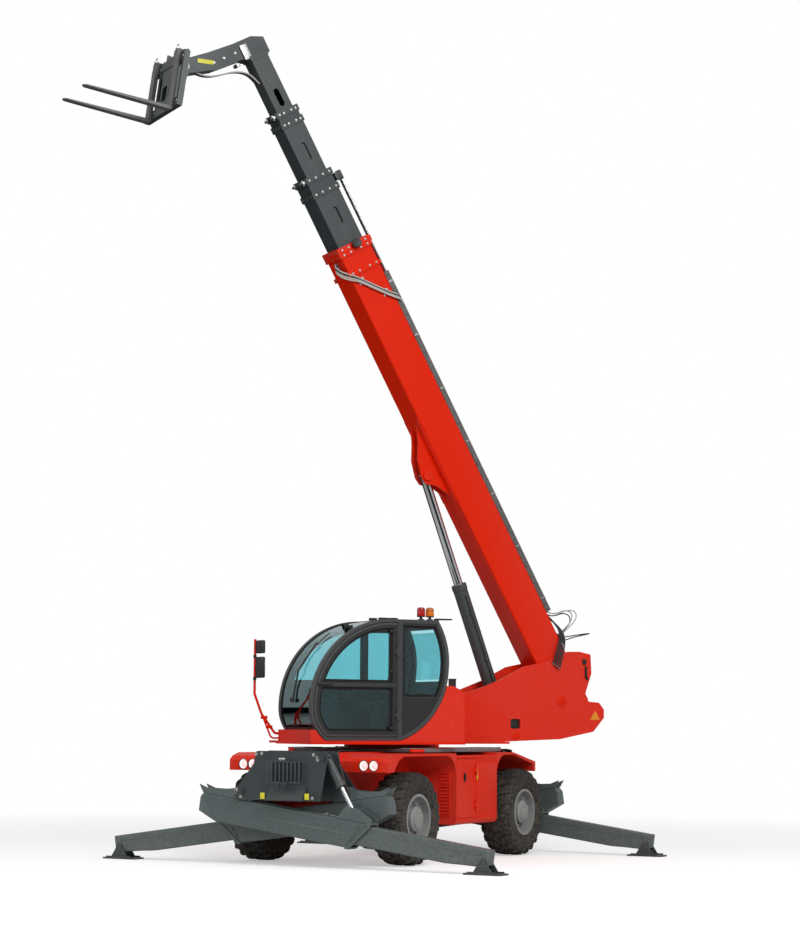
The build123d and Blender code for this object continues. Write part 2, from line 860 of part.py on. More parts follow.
# Engine hood on the right of the turret, with the engine block inside
hood_base = turret_floor + floor_plate + seat_gap
hood_y = right_plate - seat_gap
hood_corners = [
    (hood_rear, hood_base),
    (hood_rear, hood_top - 240),
    (hood_rear + hood_slope, hood_top),
    (hood_front - hood_slope, hood_top),
    (hood_front, hood_top - 140),
    (hood_front, hood_base),
]
with BuildPart() as hood:
    with BuildSketch(Plane.XZ.offset(-hood_y)):
        Polygon(*hood_corners, align=None)
    extrude(amount=hood_y + hood_outer)
    outer_edges = hood.edges().filter_by(Axis.Z, reverse=True).group_by(Axis.Y)[0]
    fillet(outer_edges.group_by(Axis.Z)[1:], 60)
    with BuildSketch(Plane.XZ.offset(-hood_y)):
        Polygon(*hood_corners, align=None)
        offset(amount=-sheet, mode=Mode.REPLACE)
    extrude(amount=hood_y + hood_outer - sheet, mode=Mode.SUBTRACT)
    with Locations(((hood_front + hood_rear) / 2, hood_y - (hood_y + hood_outer) / 2, hood_base)):
        hood_length = hood_front - hood_rear - 2 * sheet
        hood_width = hood_y + hood_outer - 2 * sheet
        Box(hood_length, hood_width, 4 * sheet, mode=Mode.SUBTRACT)
    for louvre in range(louvre_count):
        louvre_z = hood_base + louvre_low + louvre * louvre_pitch
        for louvre_x in (hood_rear + louvre_inset, hood_front - louvre_inset):
            with Locations((louvre_x, -hood_outer, louvre_z)):
                Box(louvre_length, 2 * sheet + 4, louvre_slot, mode=Mode.SUBTRACT)
keep(hood.part, "engine_hood", turret_place)

with BuildPart() as engine:
    with Locations(((hood_front + hood_rear) / 2, engine_middle, hood_base + engine_height / 2)):
        Box(engine_length, engine_width, engine_height)
keep(engine.part, "engine_block", turret_place)


# Cab: a rounded outline carried across the whole width
def cab_outline(grow=0):
    """The cab's side outline in x and z, grown outwards or shrunk by the given amount."""
    radius = cab_front_radius
    centre_z = cab_roof - radius
    front_x = cab_front_arc_top + radius
    slope = math.sqrt(0.5)
    with BuildSketch(Plane.XZ) as outline:
        with BuildLine():
            Line((cab_front_arc_top, cab_roof), (cab_rear_top, cab_roof))
            ThreePointArc(
                (cab_front_arc_top, cab_roof),
                (cab_front_arc_top + radius * slope, centre_z + radius * slope),
                (front_x, centre_z),
            )
            ThreePointArc(
                (front_x, centre_z),
                (front_x - 58, centre_z - 230),
                (cab_front_low, cab_bottom),
            )
            Line((cab_front_low, cab_bottom), (cab_pillar, cab_bottom))
            ThreePointArc((cab_pillar, cab_bottom), (-10, 1890), (cab_rear, 2450))
            ThreePointArc((cab_rear, 2450), (cab_rear + 36, 2800), (cab_rear_top, cab_roof))
        make_face()
        if grow:
            offset(amount=grow, mode=Mode.REPLACE)
    return outline.sketch


def side_zone(x_low, x_high, z_low, z_high):
    """A rectangle in x and z, to cut an outline with."""
    with BuildSketch(Plane.XZ) as zone:
        with Locations(((x_low + x_high) / 2, (z_low + z_high) / 2)):
            Rectangle(x_high - x_low, z_high - z_low)
    return zone.sketch


def across(sketch, y_low, y_high):
    """Carries a side sketch from one y to the other."""
    return extrude(sketch.moved(Location((0, y_low, 0))), amount=-(y_high - y_low), mode=Mode.PRIVATE)


door_front = 2000
door_edge = cab_pillar + 40
door_opening = cab_outline(-40) & side_zone(door_edge - door_gap, door_front, 1000, 4000)
door_leaf = cab_outline(-40 - door_gap) & side_zone(door_edge, door_front, 1000, 4000)
door_glass_high = cab_outline(-110) & side_zone(door_edge + 60, door_front, waist_rail + waist_bar / 2, 4000)
door_glass_low = cab_outline(-110) & side_zone(door_edge + 60, door_front, 1000, waist_rail - waist_bar / 2)
quarter_glass = cab_outline(-75) & side_zone(-1000, cab_pillar - 45, 2080, 4000)
right_glass = cab_outline(-110) & side_zone(-1000, door_front, waist_rail + waist_bar / 2, 4000)
front_glass = cab_outline(1) - cab_outline(-cab_wall - 5)
front_glass = front_glass & side_zone(cab_front_arc_top, door_front, bumper_top + 30, 4000)
rear_glass = side_zone(cab_rear - 100, cab_rear + 250, guard_top + 60, cab_roof - 110)
hinge_x = door_edge - door_gap / 2
hinge_y = cab_outer + hinge_stand_off
hinge_heights = (1850, 2650)

with BuildPart() as cab:
    add(across(cab_outline(), cab_inner, cab_outer))
    add(across(cab_outline(-cab_wall), cab_inner + cab_wall, cab_outer - cab_wall), mode=Mode.SUBTRACT)
    add(across(door_opening, cab_outer - cab_wall - 1, cab_outer + 1), mode=Mode.SUBTRACT)
    add(across(quarter_glass, cab_outer - cab_wall - 1, cab_outer + 1), mode=Mode.SUBTRACT)
    add(across(right_glass, cab_inner - 1, cab_inner + cab_wall + 1), mode=Mode.SUBTRACT)
    add(across(front_glass, cab_inner + cab_wall + 10, cab_outer - cab_wall - 10), mode=Mode.SUBTRACT)
    add(across(rear_glass, cab_inner + cab_wall + 40, cab_outer - cab_wall - 40), mode=Mode.SUBTRACT)
    fixed_hinge(hinge_x, hinge_y, hinge_heights, door_hinge_pin)
keep(cab.part, "cab_frame", turret_place)

with BuildPart() as cab_door:
    add(across(door_leaf, cab_outer - door_thickness, cab_outer))
    for glass in (door_glass_high, door_glass_low):
        add(across(glass, cab_outer - cab_wall - 1, cab_outer + 1), mode=Mode.SUBTRACT)
    moving_hinge(hinge_x, hinge_y, hinge_heights, door_hinge_pin)
keep(cab_door.part, "cab_door", turret_place)

floor_top = turret_floor + floor_plate
with BuildPart() as cab_base:
    with BuildSketch(Plane.XZ) as guard_side:
        Polygon(
            (guard_rear, floor_top),
            (guard_rear, guard_top - 100),
            (guard_rear + 30, guard_top - 60),
            (guard_rear + 170, guard_top),
            (cab_pillar, guard_top),
            (cab_pillar, floor_top),
            align=None,
        )
        fillet([v for v in guard_side.vertices() if v.X < cab_rear - 50 and v.Y > floor_top + 50], 20)
    rear_guard = guard_side.sketch - cab_outline(10)
    sill = side_zone(guard_rear, bumper_front, floor_top, cab_bottom - seat_gap)
    bumper = side_zone(cab_front_low - 200, bumper_front, floor_top, bumper_top) - cab_outline(10)
    add(across(rear_guard + sill + bumper, cab_inner, cab_outer - 10))
keep(cab_base.part, "cab_base", turret_place)

cab_middle = (cab_inner + cab_outer) / 2
cab_floor_top = cab_bottom + cab_wall


def rounded_box(length, width, height, radius):
    with BuildPart() as block:
        Box(length, width, height)
        fillet(block.edges(), radius)
    return block.part


with BuildPart() as seat:
    seat_top = cab_floor_top + 410
    with Locations((640, cab_middle, cab_floor_top + 150)):
        Box(200, 300, 300)
    with Locations((500, cab_middle, seat_top - 125)):
        Box(420, 420, 50)
    add(rounded_box(480, 480, 130, 45).moved(Location((500, cab_middle, seat_top - 45))))
    back = Location((285, cab_middle, seat_top + 290), (0, -8, 0))
    add(rounded_box(120, 470, 620, 50).moved(back))
    add(rounded_box(100, 280, 180, 40).moved(back * Location((0, 0, 390))))
    with Locations((330, cab_middle, seat_top - 70)):
        Box(120, 380, 60)
    for side in (1, -1):
        rest = Location((500, cab_middle + side * 285, seat_top + 130))
        add(rounded_box(330, 70, 60, 20).moved(rest))
        with Locations((380, cab_middle + side * 252, seat_top + 60)):
            Box(60, 50, 180)
        with Locations((630, cab_middle + side * 285, seat_top + 200)):
            Cylinder(16, 120)
        with Locations((630, cab_middle + side * 285, seat_top + 265)):
            Sphere(26)
keep(seat.part, "driver_seat", turret_place)

with BuildPart() as console:
    with BuildSketch(Plane.XZ.offset(-cab_middle)):
        Polygon(
            (1200, cab_floor_top),
            (1430, cab_floor_top),
            (1500, 1960),
            (1440, 2010),
            (1330, 2010),
            (1230, 1900),
            align=None,
        )
    extrude(amount=210, both=True)
    fillet(console.edges().filter_by(Axis.Y).group_by(Axis.Z)[-1], 20)
    with Locations(Location((1215, cab_middle, cab_floor_top + 400), (0, -25, 0))):
        Cylinder(38, 440)
    with Locations(Location((1118, cab_middle, cab_floor_top + 606), (0, -25, 0))):
        Torus(172, 15)
        Cylinder(42, 34)
        for spoke in range(3):
            with Locations(Rotation(0, 0, 120 * spoke)):
                with Locations((86, 0, 0)):
                    Box(172, 26, 12)
keep(console.part, "steering_console", turret_place)

# Mirror arm at the right front corner of the cab base
def bent_tube(points, diameter, bend):
    """A round tube through the points, bent at its corners."""
    with BuildPart() as tube:
        with BuildLine() as path:
            FilletPolyline(*points, radius=bend)
        with BuildSketch(Plane(origin=path.line @ 0, z_dir=path.line % 0)):
            Circle(diameter / 2)
        sweep()
    return tube.part


mirror_y = cab_inner + 25
with BuildPart() as mirror:
    upper = [
        (bumper_front + seat_gap, mirror_y, 1610),
        (bumper_front + 60, mirror_y, 1610),
        (1990, mirror_y, 1860),
        (2088, mirror_y, 2110),
        (2088, mirror_y, 2800),
    ]
    lower = [(bumper_front + seat_gap, mirror_y, 1550), (1850, mirror_y, 1550), (2030, mirror_y, 1960)]
    add(bent_tube(upper, mirror_tube, mirror_bend))
    add(bent_tube(lower, mirror_tube * 0.75, mirror_bend))
    for x, z in ((1880, 1690), (1950, 1810)):
        with Locations((x, mirror_y, z)):
            Box(90, 12, 40)
    for z, height in ((2440, 260), (2700, 160)):
        with Locations((2060, mirror_y + 105, z)):
            Box(46, 190, height)
    fillet(mirror.edges().filter_by(Axis.X).filter_by(lambda e: abs(e.length - 46) < 0.1), 22)
    for z in (2440, 2700):
        with Locations(Location((2074, mirror_y + 20, z), (90, 0, 0))):
            Cylinder(10, 60)
keep(mirror.part, "mirror_arm", turret_place)

# Boom: outer box, three sections and their collars
def tube_section(start, end, top, bottom, width, edge):
    """A box section along the boom, with rounded long edges."""
    with BuildPart() as tube:
        with BuildSketch(Plane.YZ.offset(start)):
            with Locations((0, (top + bottom) / 2)):
                RectangleRounded(width, top - bottom, edge)
        extrude(amount=end - start)
    return tube.part


lift_ear_y = lift_eye_width / 2 + moving_gap + lift_ear / 2
with BuildPart() as boom_outer:
    add(tube_section(boom_rear, boom_front, boom_top, boom_bottom, boom_width, boom_edge))
    collar_top = boom_top + collar_rise
    collar_bottom = boom_bottom - collar_rise
    collar_width = boom_width + 2 * collar_rise
    for start, length in ((boom_front - boom_collar, collar_rear_band), (boom_front - collar_band, collar_band)):
        add(tube_section(start, start + length, collar_top, collar_bottom, collar_width, boom_edge))
    with Locations(Rotation(90, 0, 0)):
        Cylinder(150, boom_width)
    hollow_top = boom_top - boom_wall
    hollow_bottom = boom_bottom + boom_wall
    hollow_width = boom_width - 2 * boom_wall
    hollow_start = boom_rear + boom_root
    hollow = tube_section(hollow_start, boom_front + 1, hollow_top, hollow_bottom, hollow_width, boom_edge - boom_wall)
    add(hollow, mode=Mode.SUBTRACT)
    with Locations(Rotation(90, 0, 0)):
        Cylinder(boom_pin_diameter / 2 + running_gap, 2 * boom_width, mode=Mode.SUBTRACT)
    inner = sections[0]
    for pad_low, pad_high in (
        (hollow_bottom, inner["bottom"] - seat_gap),
        (inner["top"] + seat_gap, hollow_top),
    ):
        with Locations((boom_front - wear_pad / 2, 0, (pad_low + pad_high) / 2)):
            Box(wear_pad, inner["width"] - 60, pad_high - pad_low)
    for side in (1, -1):
        with BuildSketch(Plane.XZ.offset(-side * lift_ear_y)) as ear:
            Polygon(
                (lift_eye_s - 420, boom_bottom + 5),
                (lift_eye_s - 190, lift_eye_t + 60),
                (lift_eye_s - 90, lift_eye_t - 75),
                (lift_eye_s + 20, lift_eye_t - 90),
                (lift_eye_s + 250, lift_eye_t - 30),
                (lift_eye_s + 440, lift_eye_t + 85),
                (lift_eye_s + 680, boom_bottom + 5),
                align=None,
            )
            fillet([v for v in ear.vertices() if v.Y < lift_eye_t], 30)
        extrude(amount=lift_ear / 2, both=True)
        boss_y = side * (lift_ear_y + lift_ear / 2 + 12)
        with Locations(Location((lift_eye_s, boss_y, lift_eye_t), (90, 0, 0))):
            Cylinder(lift_pin_diameter / 2 + 25, 30)
    # Doubler under the bracket and the tray's feet along the top
    for side in (1, -1):
        with Locations((lift_eye_s + 130, side * (lift_ear_y + 60), boom_bottom - 5)):
            Box(1240, 90, 12)
    for s_place in range(tray_start + tray_feet // 2, tray_end, tray_feet):
        with Locations((s_place, tray_y, boom_top + 4)):
            Box(60, tray_width, 10)
keep(boom_outer.part, "boom_outer", boom_place)

# Open tray for the hoses along the boom's top
with BuildPart() as tray:
    base_t = boom_top + 9 + seat_gap
    with BuildSketch(Plane.YZ.offset(tray_start)):
        with Locations((tray_y, base_t + tray_height / 2)):
            Rectangle(tray_width, tray_height)
        with Locations((tray_y, base_t + tray_height / 2 + tray_sheet)):
            Rectangle(tray_width - 2 * tray_sheet, tray_height, mode=Mode.SUBTRACT)
    extrude(amount=tray_end - tray_start)
keep(tray.part, "hose_tray", boom_place)

for number, size in enumerate(sections, 1):
    top, bottom, width = size["top"], size["bottom"], size["width"]
    with BuildPart() as section:
        add(tube_section(size["start"], size["end"], top, bottom, width, section_edge))
        rise = section_collar_rise
        if size["collar"]:
            for start in (size["end"] - size["collar"], size["end"] - 90):
                add(tube_section(start, start + 90, top + rise, bottom - rise, width + 2 * rise, section_edge))
        add(
            tube_section(
                size["start"] - 1,
                size["end"] + 1,
                top - section_wall,
                bottom + section_wall,
                width - 2 * section_wall,
                section_edge - section_wall + 2,
            ),
            mode=Mode.SUBTRACT,
        )
        hole_s = size["end"] - inspection_back
        with BuildSketch(Plane.XZ.offset(-width)):
            with Locations((hole_s, (top + bottom) / 2)):
                SlotOverall(inspection_hole, inspection_height)
        extrude(amount=2 * width, mode=Mode.SUBTRACT)
        if number < len(sections):
            inner = sections[number]
            for pad_low, pad_high in (
                (bottom + section_wall, inner["bottom"] - seat_gap),
                (inner["top"] + seat_gap, top - section_wall),
            ):
                with Locations((size["end"] - wear_pad / 2, 0, (pad_low + pad_high) / 2)):
                    Box(wear_pad, inner["width"] - 60, pad_high - pad_low)
    keep(section.part, "boom_section_" + str(number), boom_place)

# Boom head: a bent nose that carries the tilting carriage
tilt_angle = math.radians(boom_angle)
tilt_dx = tilt_pin_x - boom_pivot_x
tilt_dz = tilt_pin_z - boom_pivot_z
tilt_s = tilt_dx * math.cos(tilt_angle) + tilt_dz * math.sin(tilt_angle)
tilt_t = -tilt_dx * math.sin(tilt_angle) + tilt_dz * math.cos(tilt_angle)
last = sections[-1]
with BuildPart() as head:
    with BuildSketch(Plane.XZ):
        with BuildLine():
            Polyline(
                (last["end"] - 20, last["top"] + 50),
                (last["end"] + 190, last["top"] + 52),
                (last["end"] + 260, last["top"] - 116),
                (last["end"] + 262, -90),
                (last["end"] + 290, -470),
                (tilt_s + 88, tilt_t + 45),
                (tilt_s + 80, tilt_t - 30),
                (tilt_s + 40, tilt_t - 76),
                (tilt_s - 30, tilt_t - 82),
                (tilt_s - 90, tilt_t - 30),
                (last["end"] + 50, -500),
                (last["end"] + 25, -60),
                (last["end"] - 20, last["bottom"] - 30),
                close=True,
            )
        make_face()
    extrude(amount=head_width / 2, both=True)
    tip = last["end"]
    for start, end, grow, mode in (
        (tip - 40, tip + 20, head_socket, Mode.ADD),
        (tip - 100, tip + seat_gap, seat_gap, Mode.SUBTRACT),
    ):
        top, bottom, width = last["top"] + grow, last["bottom"] - grow, last["width"] + 2 * grow
        add(tube_section(start, end, top, bottom, width, section_edge), mode=mode)
    with Locations(Location((tilt_s, 0, tilt_t), (90, 0, 0))):
        Cylinder(lift_pin_diameter / 2, head_width + 100)
keep(head.part, "boom_head", boom_place)

# Carriage and forks, drawn from the tilt pin with the forks along +X
carriage_place = turret_place * Location((tilt_pin_x, boom_centre, tilt_pin_z), (0, -fork_tilt, 0))
with BuildPart() as carriage:
    ear_y = head_width / 2 + carriage_ear_gap
    rear = carriage_front - carriage_plate
    for side in (1, -1):
        with BuildSketch(Plane.XZ.offset(-side * (ear_y + 15))):
            Polygon(
                (-75, -60),
                (-75, 40),
                (-30, 75),
                (60, 105),
                (120, 160),
                (165, 160),
                (165, carriage_low),
                (90, carriage_low + 20),
                align=None,
            )
        extrude(amount=15, both=True)
        with Locations(Location((0, side * (ear_y + 15), 0), (90, 0, 0))):
            Cylinder(lift_pin_diameter / 2 + running_gap, 31, mode=Mode.SUBTRACT)
        for y, width in ((carriage_width / 2 - 30, 60), (inner_post, 50)):
            with Locations((carriage_front - carriage_plate / 2, side * y, -310)):
                Box(carriage_plate, width, 730)
    with BuildSketch(Plane.XZ):
        Polygon(
            (rear, -60),
            (rear, 45),
            (rear + 30, 75),
            (carriage_front, 60),
            (carriage_front, -60),
            align=None,
        )
        Polygon(
            (rear, carriage_low),
            (rear, carriage_low + 115),
            (carriage_front, carriage_low + 115),
            (carriage_front, carriage_low),
            align=None,
        )
    extrude(amount=carriage_width / 2, both=True)
    with BuildSketch(Plane.YZ.offset(carriage_front - 30)):
        with Locations((0, -310)):
            Rectangle(2 * inner_post, 520)
        for y in (-170, 170):
            with Locations((y, -320)):
                RectangleRounded(60, 330, 25, mode=Mode.SUBTRACT)
        with Locations((0, -400)):
            RectangleRounded(160, 200, 25, mode=Mode.SUBTRACT)
    extrude(amount=20)
keep(carriage.part, "carriage", carriage_place)

with BuildPart() as forks:
    start = carriage_front + seat_gap
    for side in (1, -1):
        with BuildSketch(Plane.XZ.offset(-side * fork_spacing / 2)) as tine:
            Polygon(
                (start, fork_hook - 20),
                (rear + 30, fork_hook - 20),
                (rear + 30, fork_hook),
                (start + fork_thickness, fork_hook),
                (start + fork_thickness, fork_drop + fork_thickness),
                (start + fork_length, fork_drop + 15),
                (start + fork_length, fork_drop),
                (start, fork_drop),
                align=None,
            )
            heel = [v for v in tine.vertices() if v.X < start + 1 and v.Y < fork_drop + 1]
            fillet(heel, 30)
        extrude(amount=fork_width / 2, both=True)
    chamfer(forks.edges().filter_by(lambda e: abs(e.length - 15) < 0.1).group_by(Axis.X)[-1], 40)
keep(forks.part, "forks", carriage_place)

# Lift cylinder between the turret and the boom
eye_x, eye_top = boom_point(lift_eye_s, lift_eye_t)
lift_length = math.hypot(eye_x - lift_foot_x, eye_top - lift_foot_z)
lift_angle = math.degrees(math.atan2(eye_top - lift_foot_z, eye_x - lift_foot_x))
barrel_place = turret_place * Location((lift_foot_x, boom_centre, lift_foot_z), (0, -lift_angle, 0))
barrel = cylinder_barrel(
    lift_barrel_diameter, lift_rod_diameter, lift_barrel_length, lift_pin_diameter, lift_eye_width
)
keep(barrel, "lift_barrel", barrel_place)
rod = cylinder_rod(lift_rod_diameter, lift_rod_length, lift_rod_diameter, lift_eye_width)
keep(rod, "lift_rod", barrel_place * Location((lift_length, 0, 0)))

# The finished model stands on the middle of its own footprint
boxes = [piece.bounding_box() for piece in pieces]
middle_x = (min(box.min.X for box in boxes) + max(box.max.X for box in boxes)) / 2
middle_y = (min(box.min.Y for box in boxes) + max(box.max.Y for box in boxes)) / 2
ground = min(box.min.Z for box in boxes)
shift = Location((-middle_x, -middle_y, -ground))
os.makedirs("parts", exist_ok=True)
for piece in pieces:
    centred = piece.moved(shift)
    centred.label = piece.label
    export_step(centred, "parts/" + piece.label + ".step")
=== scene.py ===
# Rotating telehandler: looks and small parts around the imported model
import json
import math

import bmesh
import bpy
from mathutils import Matrix, Vector


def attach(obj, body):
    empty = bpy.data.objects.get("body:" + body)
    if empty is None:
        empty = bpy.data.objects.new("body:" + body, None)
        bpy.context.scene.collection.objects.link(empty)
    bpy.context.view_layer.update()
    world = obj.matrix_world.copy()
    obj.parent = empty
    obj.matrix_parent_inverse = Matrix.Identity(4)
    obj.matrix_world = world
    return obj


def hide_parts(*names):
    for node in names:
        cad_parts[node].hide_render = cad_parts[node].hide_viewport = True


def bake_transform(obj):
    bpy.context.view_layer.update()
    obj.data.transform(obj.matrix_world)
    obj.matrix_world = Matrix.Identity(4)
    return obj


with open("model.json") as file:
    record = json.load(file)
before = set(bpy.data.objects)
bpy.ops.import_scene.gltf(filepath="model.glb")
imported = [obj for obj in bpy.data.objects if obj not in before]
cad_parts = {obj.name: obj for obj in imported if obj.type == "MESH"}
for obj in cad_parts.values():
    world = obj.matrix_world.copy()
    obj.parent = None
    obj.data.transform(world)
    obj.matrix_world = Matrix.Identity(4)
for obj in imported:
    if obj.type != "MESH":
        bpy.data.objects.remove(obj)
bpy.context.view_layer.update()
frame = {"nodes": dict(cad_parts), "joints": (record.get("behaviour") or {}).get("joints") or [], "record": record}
nodes = frame["nodes"]
joints = {joint["name"]: joint for joint in frame["joints"]}
scene = bpy.context.scene
corners = ("front_left", "front_right", "rear_left", "rear_right")
print("frame loaded")


# Places: each has x forward and z up in its own part of the machine
def placeFrom(origin, xAxis, yAxis):
    xAxis = Vector(xAxis).normalized()
    yAxis = Vector(yAxis).normalized()
    zAxis = xAxis.cross(yAxis)
    turned = Matrix((xAxis, yAxis, zAxis)).transposed().to_4x4()
    return Matrix.Translation(Vector(origin)) @ turned


slewAxis = joints["slew"]["pos_m"]
cabSide = -Vector(joints["boom_lift"]["axis"])
turretForward = cabSide.cross(Vector((0, 0, 1)))
chassisPlace = Matrix.Translation((slewAxis[0], slewAxis[1], 0))
turretPlace = placeFrom((slewAxis[0], slewAxis[1], 0), turretForward, cabSide)
boomPlace = placeFrom(joints["boom_lift"]["pos_m"], joints["section_1_slide"]["axis"], cabSide)
forkTilt = math.radians(8)
carriagePlace = placeFrom(joints["carriage_tilt"]["pos_m"], turretForward, cabSide)
carriagePlace = carriagePlace @ Matrix.Rotation(-forkTilt, 4, "Y")
liftPlace = placeFrom(joints["lift_barrel_swing"]["pos_m"], joints["lift_rod_slide"]["axis"], cabSide)
halfTurn = Matrix.Rotation(math.pi, 4, "Z")
homes = {"carriage": carriagePlace, "lift_barrel": liftPlace}
homes.update(dict.fromkeys(("chassis", "locker_door"), chassisPlace))
homes.update(dict.fromkeys(("turret", "cab_door"), turretPlace))
homes.update(dict.fromkeys(("boom", "section_1", "section_2", "section_3"), boomPlace))

# Camera at the photograph's place
view = {
    "azimuth": 29.468,
    "distance": 30.84,
    "height": 1.75,
    "yaw": -0.308,
    "pitch": 6.311,
    "roll": 0.37,
    "focalPixels": 2324.3,
    "frameHeight": 932,
    "shiftPixels": -5.9,
}
azimuth = math.radians(view["azimuth"])
heading = math.radians(view["azimuth"] + view["yaw"])
pitch = math.radians(view["pitch"])
camera = bpy.data.objects.new("camera", bpy.data.cameras.new("camera"))
scene.collection.objects.link(camera)
scene.camera = camera
camera.data.lens = view["focalPixels"] / view["frameHeight"] * camera.data.sensor_width
camera.data.shift_x = view["shiftPixels"] / view["frameHeight"]
camera.data.clip_end = 200
level = -math.cos(pitch)
lookAlong = Vector((math.cos(heading) * level, math.sin(heading) * level, math.sin(pitch)))
camera.rotation_mode = "QUATERNION"
rollTurn = Matrix.Rotation(math.radians(view["roll"]), 4, "Z").to_quaternion()
camera.rotation_quaternion = lookAlong.to_track_quat("-Z", "Y") @ rollTurn
cameraX = slewAxis[0] + view["distance"] * math.cos(azimuth)
cameraY = slewAxis[1] + view["distance"] * math.sin(azimuth)
camera.location = Vector((cameraX, cameraY, view["height"]))
scene.view_settings.view_transform = "Standard"


# Shader groups, each built once and placed in the materials with its own values
def newGroup(name, inputs, outputs):
    group = bpy.data.node_groups.new(name, "ShaderNodeTree")
    for label, kind, value in inputs:
        socket = group.interface.new_socket(label, in_out="INPUT", socket_type=kind)
        socket.default_value = value
    for label, kind in outputs:
        group.interface.new_socket(label, in_out="OUTPUT", socket_type=kind)
    return group


def addNode(tree, kind, **settings):
    node = tree.nodes.new(kind)
    for key, value in settings.items():
        setattr(node, key, value)
    return node


def link(tree, source, target):
    tree.links.new(source, target)


def feed(tree, value, socket):
    if isinstance(value, bpy.types.NodeSocket):
        link(tree, value, socket)
    else:
        socket.default_value = value


def noiseAt(tree, coordinates, scale, detail=3.0, roughness=0.5):
    noise = addNode(tree, "ShaderNodeTexNoise")
    feed(tree, scale, noise.inputs["Scale"])
    noise.inputs["Detail"].default_value = detail
    noise.inputs["Roughness"].default_value = roughness
    link(tree, coordinates, noise.inputs["Vector"])
    return noise.outputs["Fac"]


def rampOf(tree, source, low, high):
    ramp = addNode(tree, "ShaderNodeMapRange")
    ramp.inputs["From Min"].default_value = low
    ramp.inputs["From Max"].default_value = high
    link(tree, source, ramp.inputs["Value"])
    return ramp.outputs["Result"]


def mixColour(tree, factor, first, second):
    mix = addNode(tree, "ShaderNodeMix", data_type="RGBA")
    feed(tree, factor, mix.inputs[0])
    feed(tree, first, mix.inputs[6])
    feed(tree, second, mix.inputs[7])
    return mix.outputs[2]


def mathOf(tree, operation, first, second, clamp=False):
    node = addNode(tree, "ShaderNodeMath", operation=operation, use_clamp=clamp)
    feed(tree, first, node.inputs[0])
    feed(tree, second, node.inputs[1])
    return node.outputs[0]


# Colour variation, road dust that gathers low down, and worn edges on a painted or moulded surface
def buildSurfaceWear():
    group = newGroup(
        "surfaceWear",
        [
            ("Colour", "NodeSocketColor", (0.5, 0.5, 0.5, 1)),
            ("Variation", "NodeSocketFloat", 0.06),
            ("Dust", "NodeSocketFloat", 0.1),
            ("Dust Height", "NodeSocketFloat", 1.2),
            ("Edge Wear", "NodeSocketFloat", 0.1),
            ("Base Roughness", "NodeSocketFloat", 0.35),
            ("Grain Scale", "NodeSocketFloat", 250.0),
        ],
        [("Colour", "NodeSocketColor"), ("Roughness", "NodeSocketFloat"), ("Height", "NodeSocketFloat")],
    )
    given = addNode(group, "NodeGroupInput").outputs
    out = addNode(group, "NodeGroupOutput").inputs
    place = addNode(group, "ShaderNodeTexCoord").outputs["Object"]
    broad = noiseAt(group, place, 1.7, 4.0)
    fine = noiseAt(group, place, 23.0, 5.0, 0.6)
    darker = mixColour(group, 0.5, given["Colour"], (0.0, 0.0, 0.0, 1))
    amount = mathOf(group, "MULTIPLY", broad, given["Variation"])
    varied = mixColour(group, amount, given["Colour"], darker)

    height = addNode(group, "ShaderNodeSeparateXYZ")
    link(group, place, height.inputs[0])
    low = mathOf(group, "DIVIDE", height.outputs["Z"], given["Dust Height"])
    low = mathOf(group, "SUBTRACT", 1.0, low, clamp=True)
    patchy = mathOf(group, "MULTIPLY", low, rampOf(group, fine, 0.35, 0.7))
    dust = mathOf(group, "MULTIPLY", patchy, given["Dust"], clamp=True)
    dusty = mixColour(group, dust, varied, (0.3, 0.26, 0.21, 1))

    edges = rampOf(group, addNode(group, "ShaderNodeNewGeometry").outputs["Pointiness"], 0.53, 0.62)
    worn = mathOf(group, "MULTIPLY", edges, given["Edge Wear"], clamp=True)
    worn = mathOf(group, "MULTIPLY", worn, fine, clamp=True)
    link(group, mixColour(group, worn, dusty, (0.45, 0.44, 0.42, 1)), out["Colour"])
    uneven = mathOf(group, "MULTIPLY", mathOf(group, "SUBTRACT", fine, 0.5), 0.12)
    rough = mathOf(group, "ADD", mathOf(group, "MULTIPLY", dust, 0.5), given["Base Roughness"])
    link(group, mathOf(group, "ADD", rough, uneven, clamp=True), out["Roughness"])
    link(group, noiseAt(group, place, given["Grain Scale"]), out["Height"])
    return group


surfaceWear = buildSurfaceWear()


def newMaterial(name):
    material = bpy.data.materials.new(name)
    material.use_nodes = True
    tree = material.node_tree
    return material, tree, tree.nodes["Principled BSDF"]


def wornMaterial(name, colour, bump=0.02, metallic=0.0, coat=0.0, specular=0.5, **values):
    material, tree, shader = newMaterial(name)
    wear = addNode(tree, "ShaderNodeGroup")
    wear.node_tree = surfaceWear
    wear.inputs["Colour"].default_value = (*colour, 1)
    for label, value in values.items():
        wear.inputs[label.replace("_", " ")].default_value = value
    relief = addNode(tree, "ShaderNodeBump")
    relief.inputs["Strength"].default_value = bump
    relief.inputs["Distance"].default_value = 0.002
    link(tree, wear.outputs["Colour"], shader.inputs["Base Color"])
    link(tree, wear.outputs["Roughness"], shader.inputs["Roughness"])
    link(tree, wear.outputs["Height"], relief.inputs["Height"])
    link(tree, relief.outputs["Normal"], shader.inputs["Normal"])
    shader.inputs["Metallic"].default_value = metallic
    shader.inputs["Coat Weight"].default_value = coat
    shader.inputs["Coat Roughness"].default_value = 0.08
    shader.inputs["Specular IOR Level"].default_value = specular
    return material


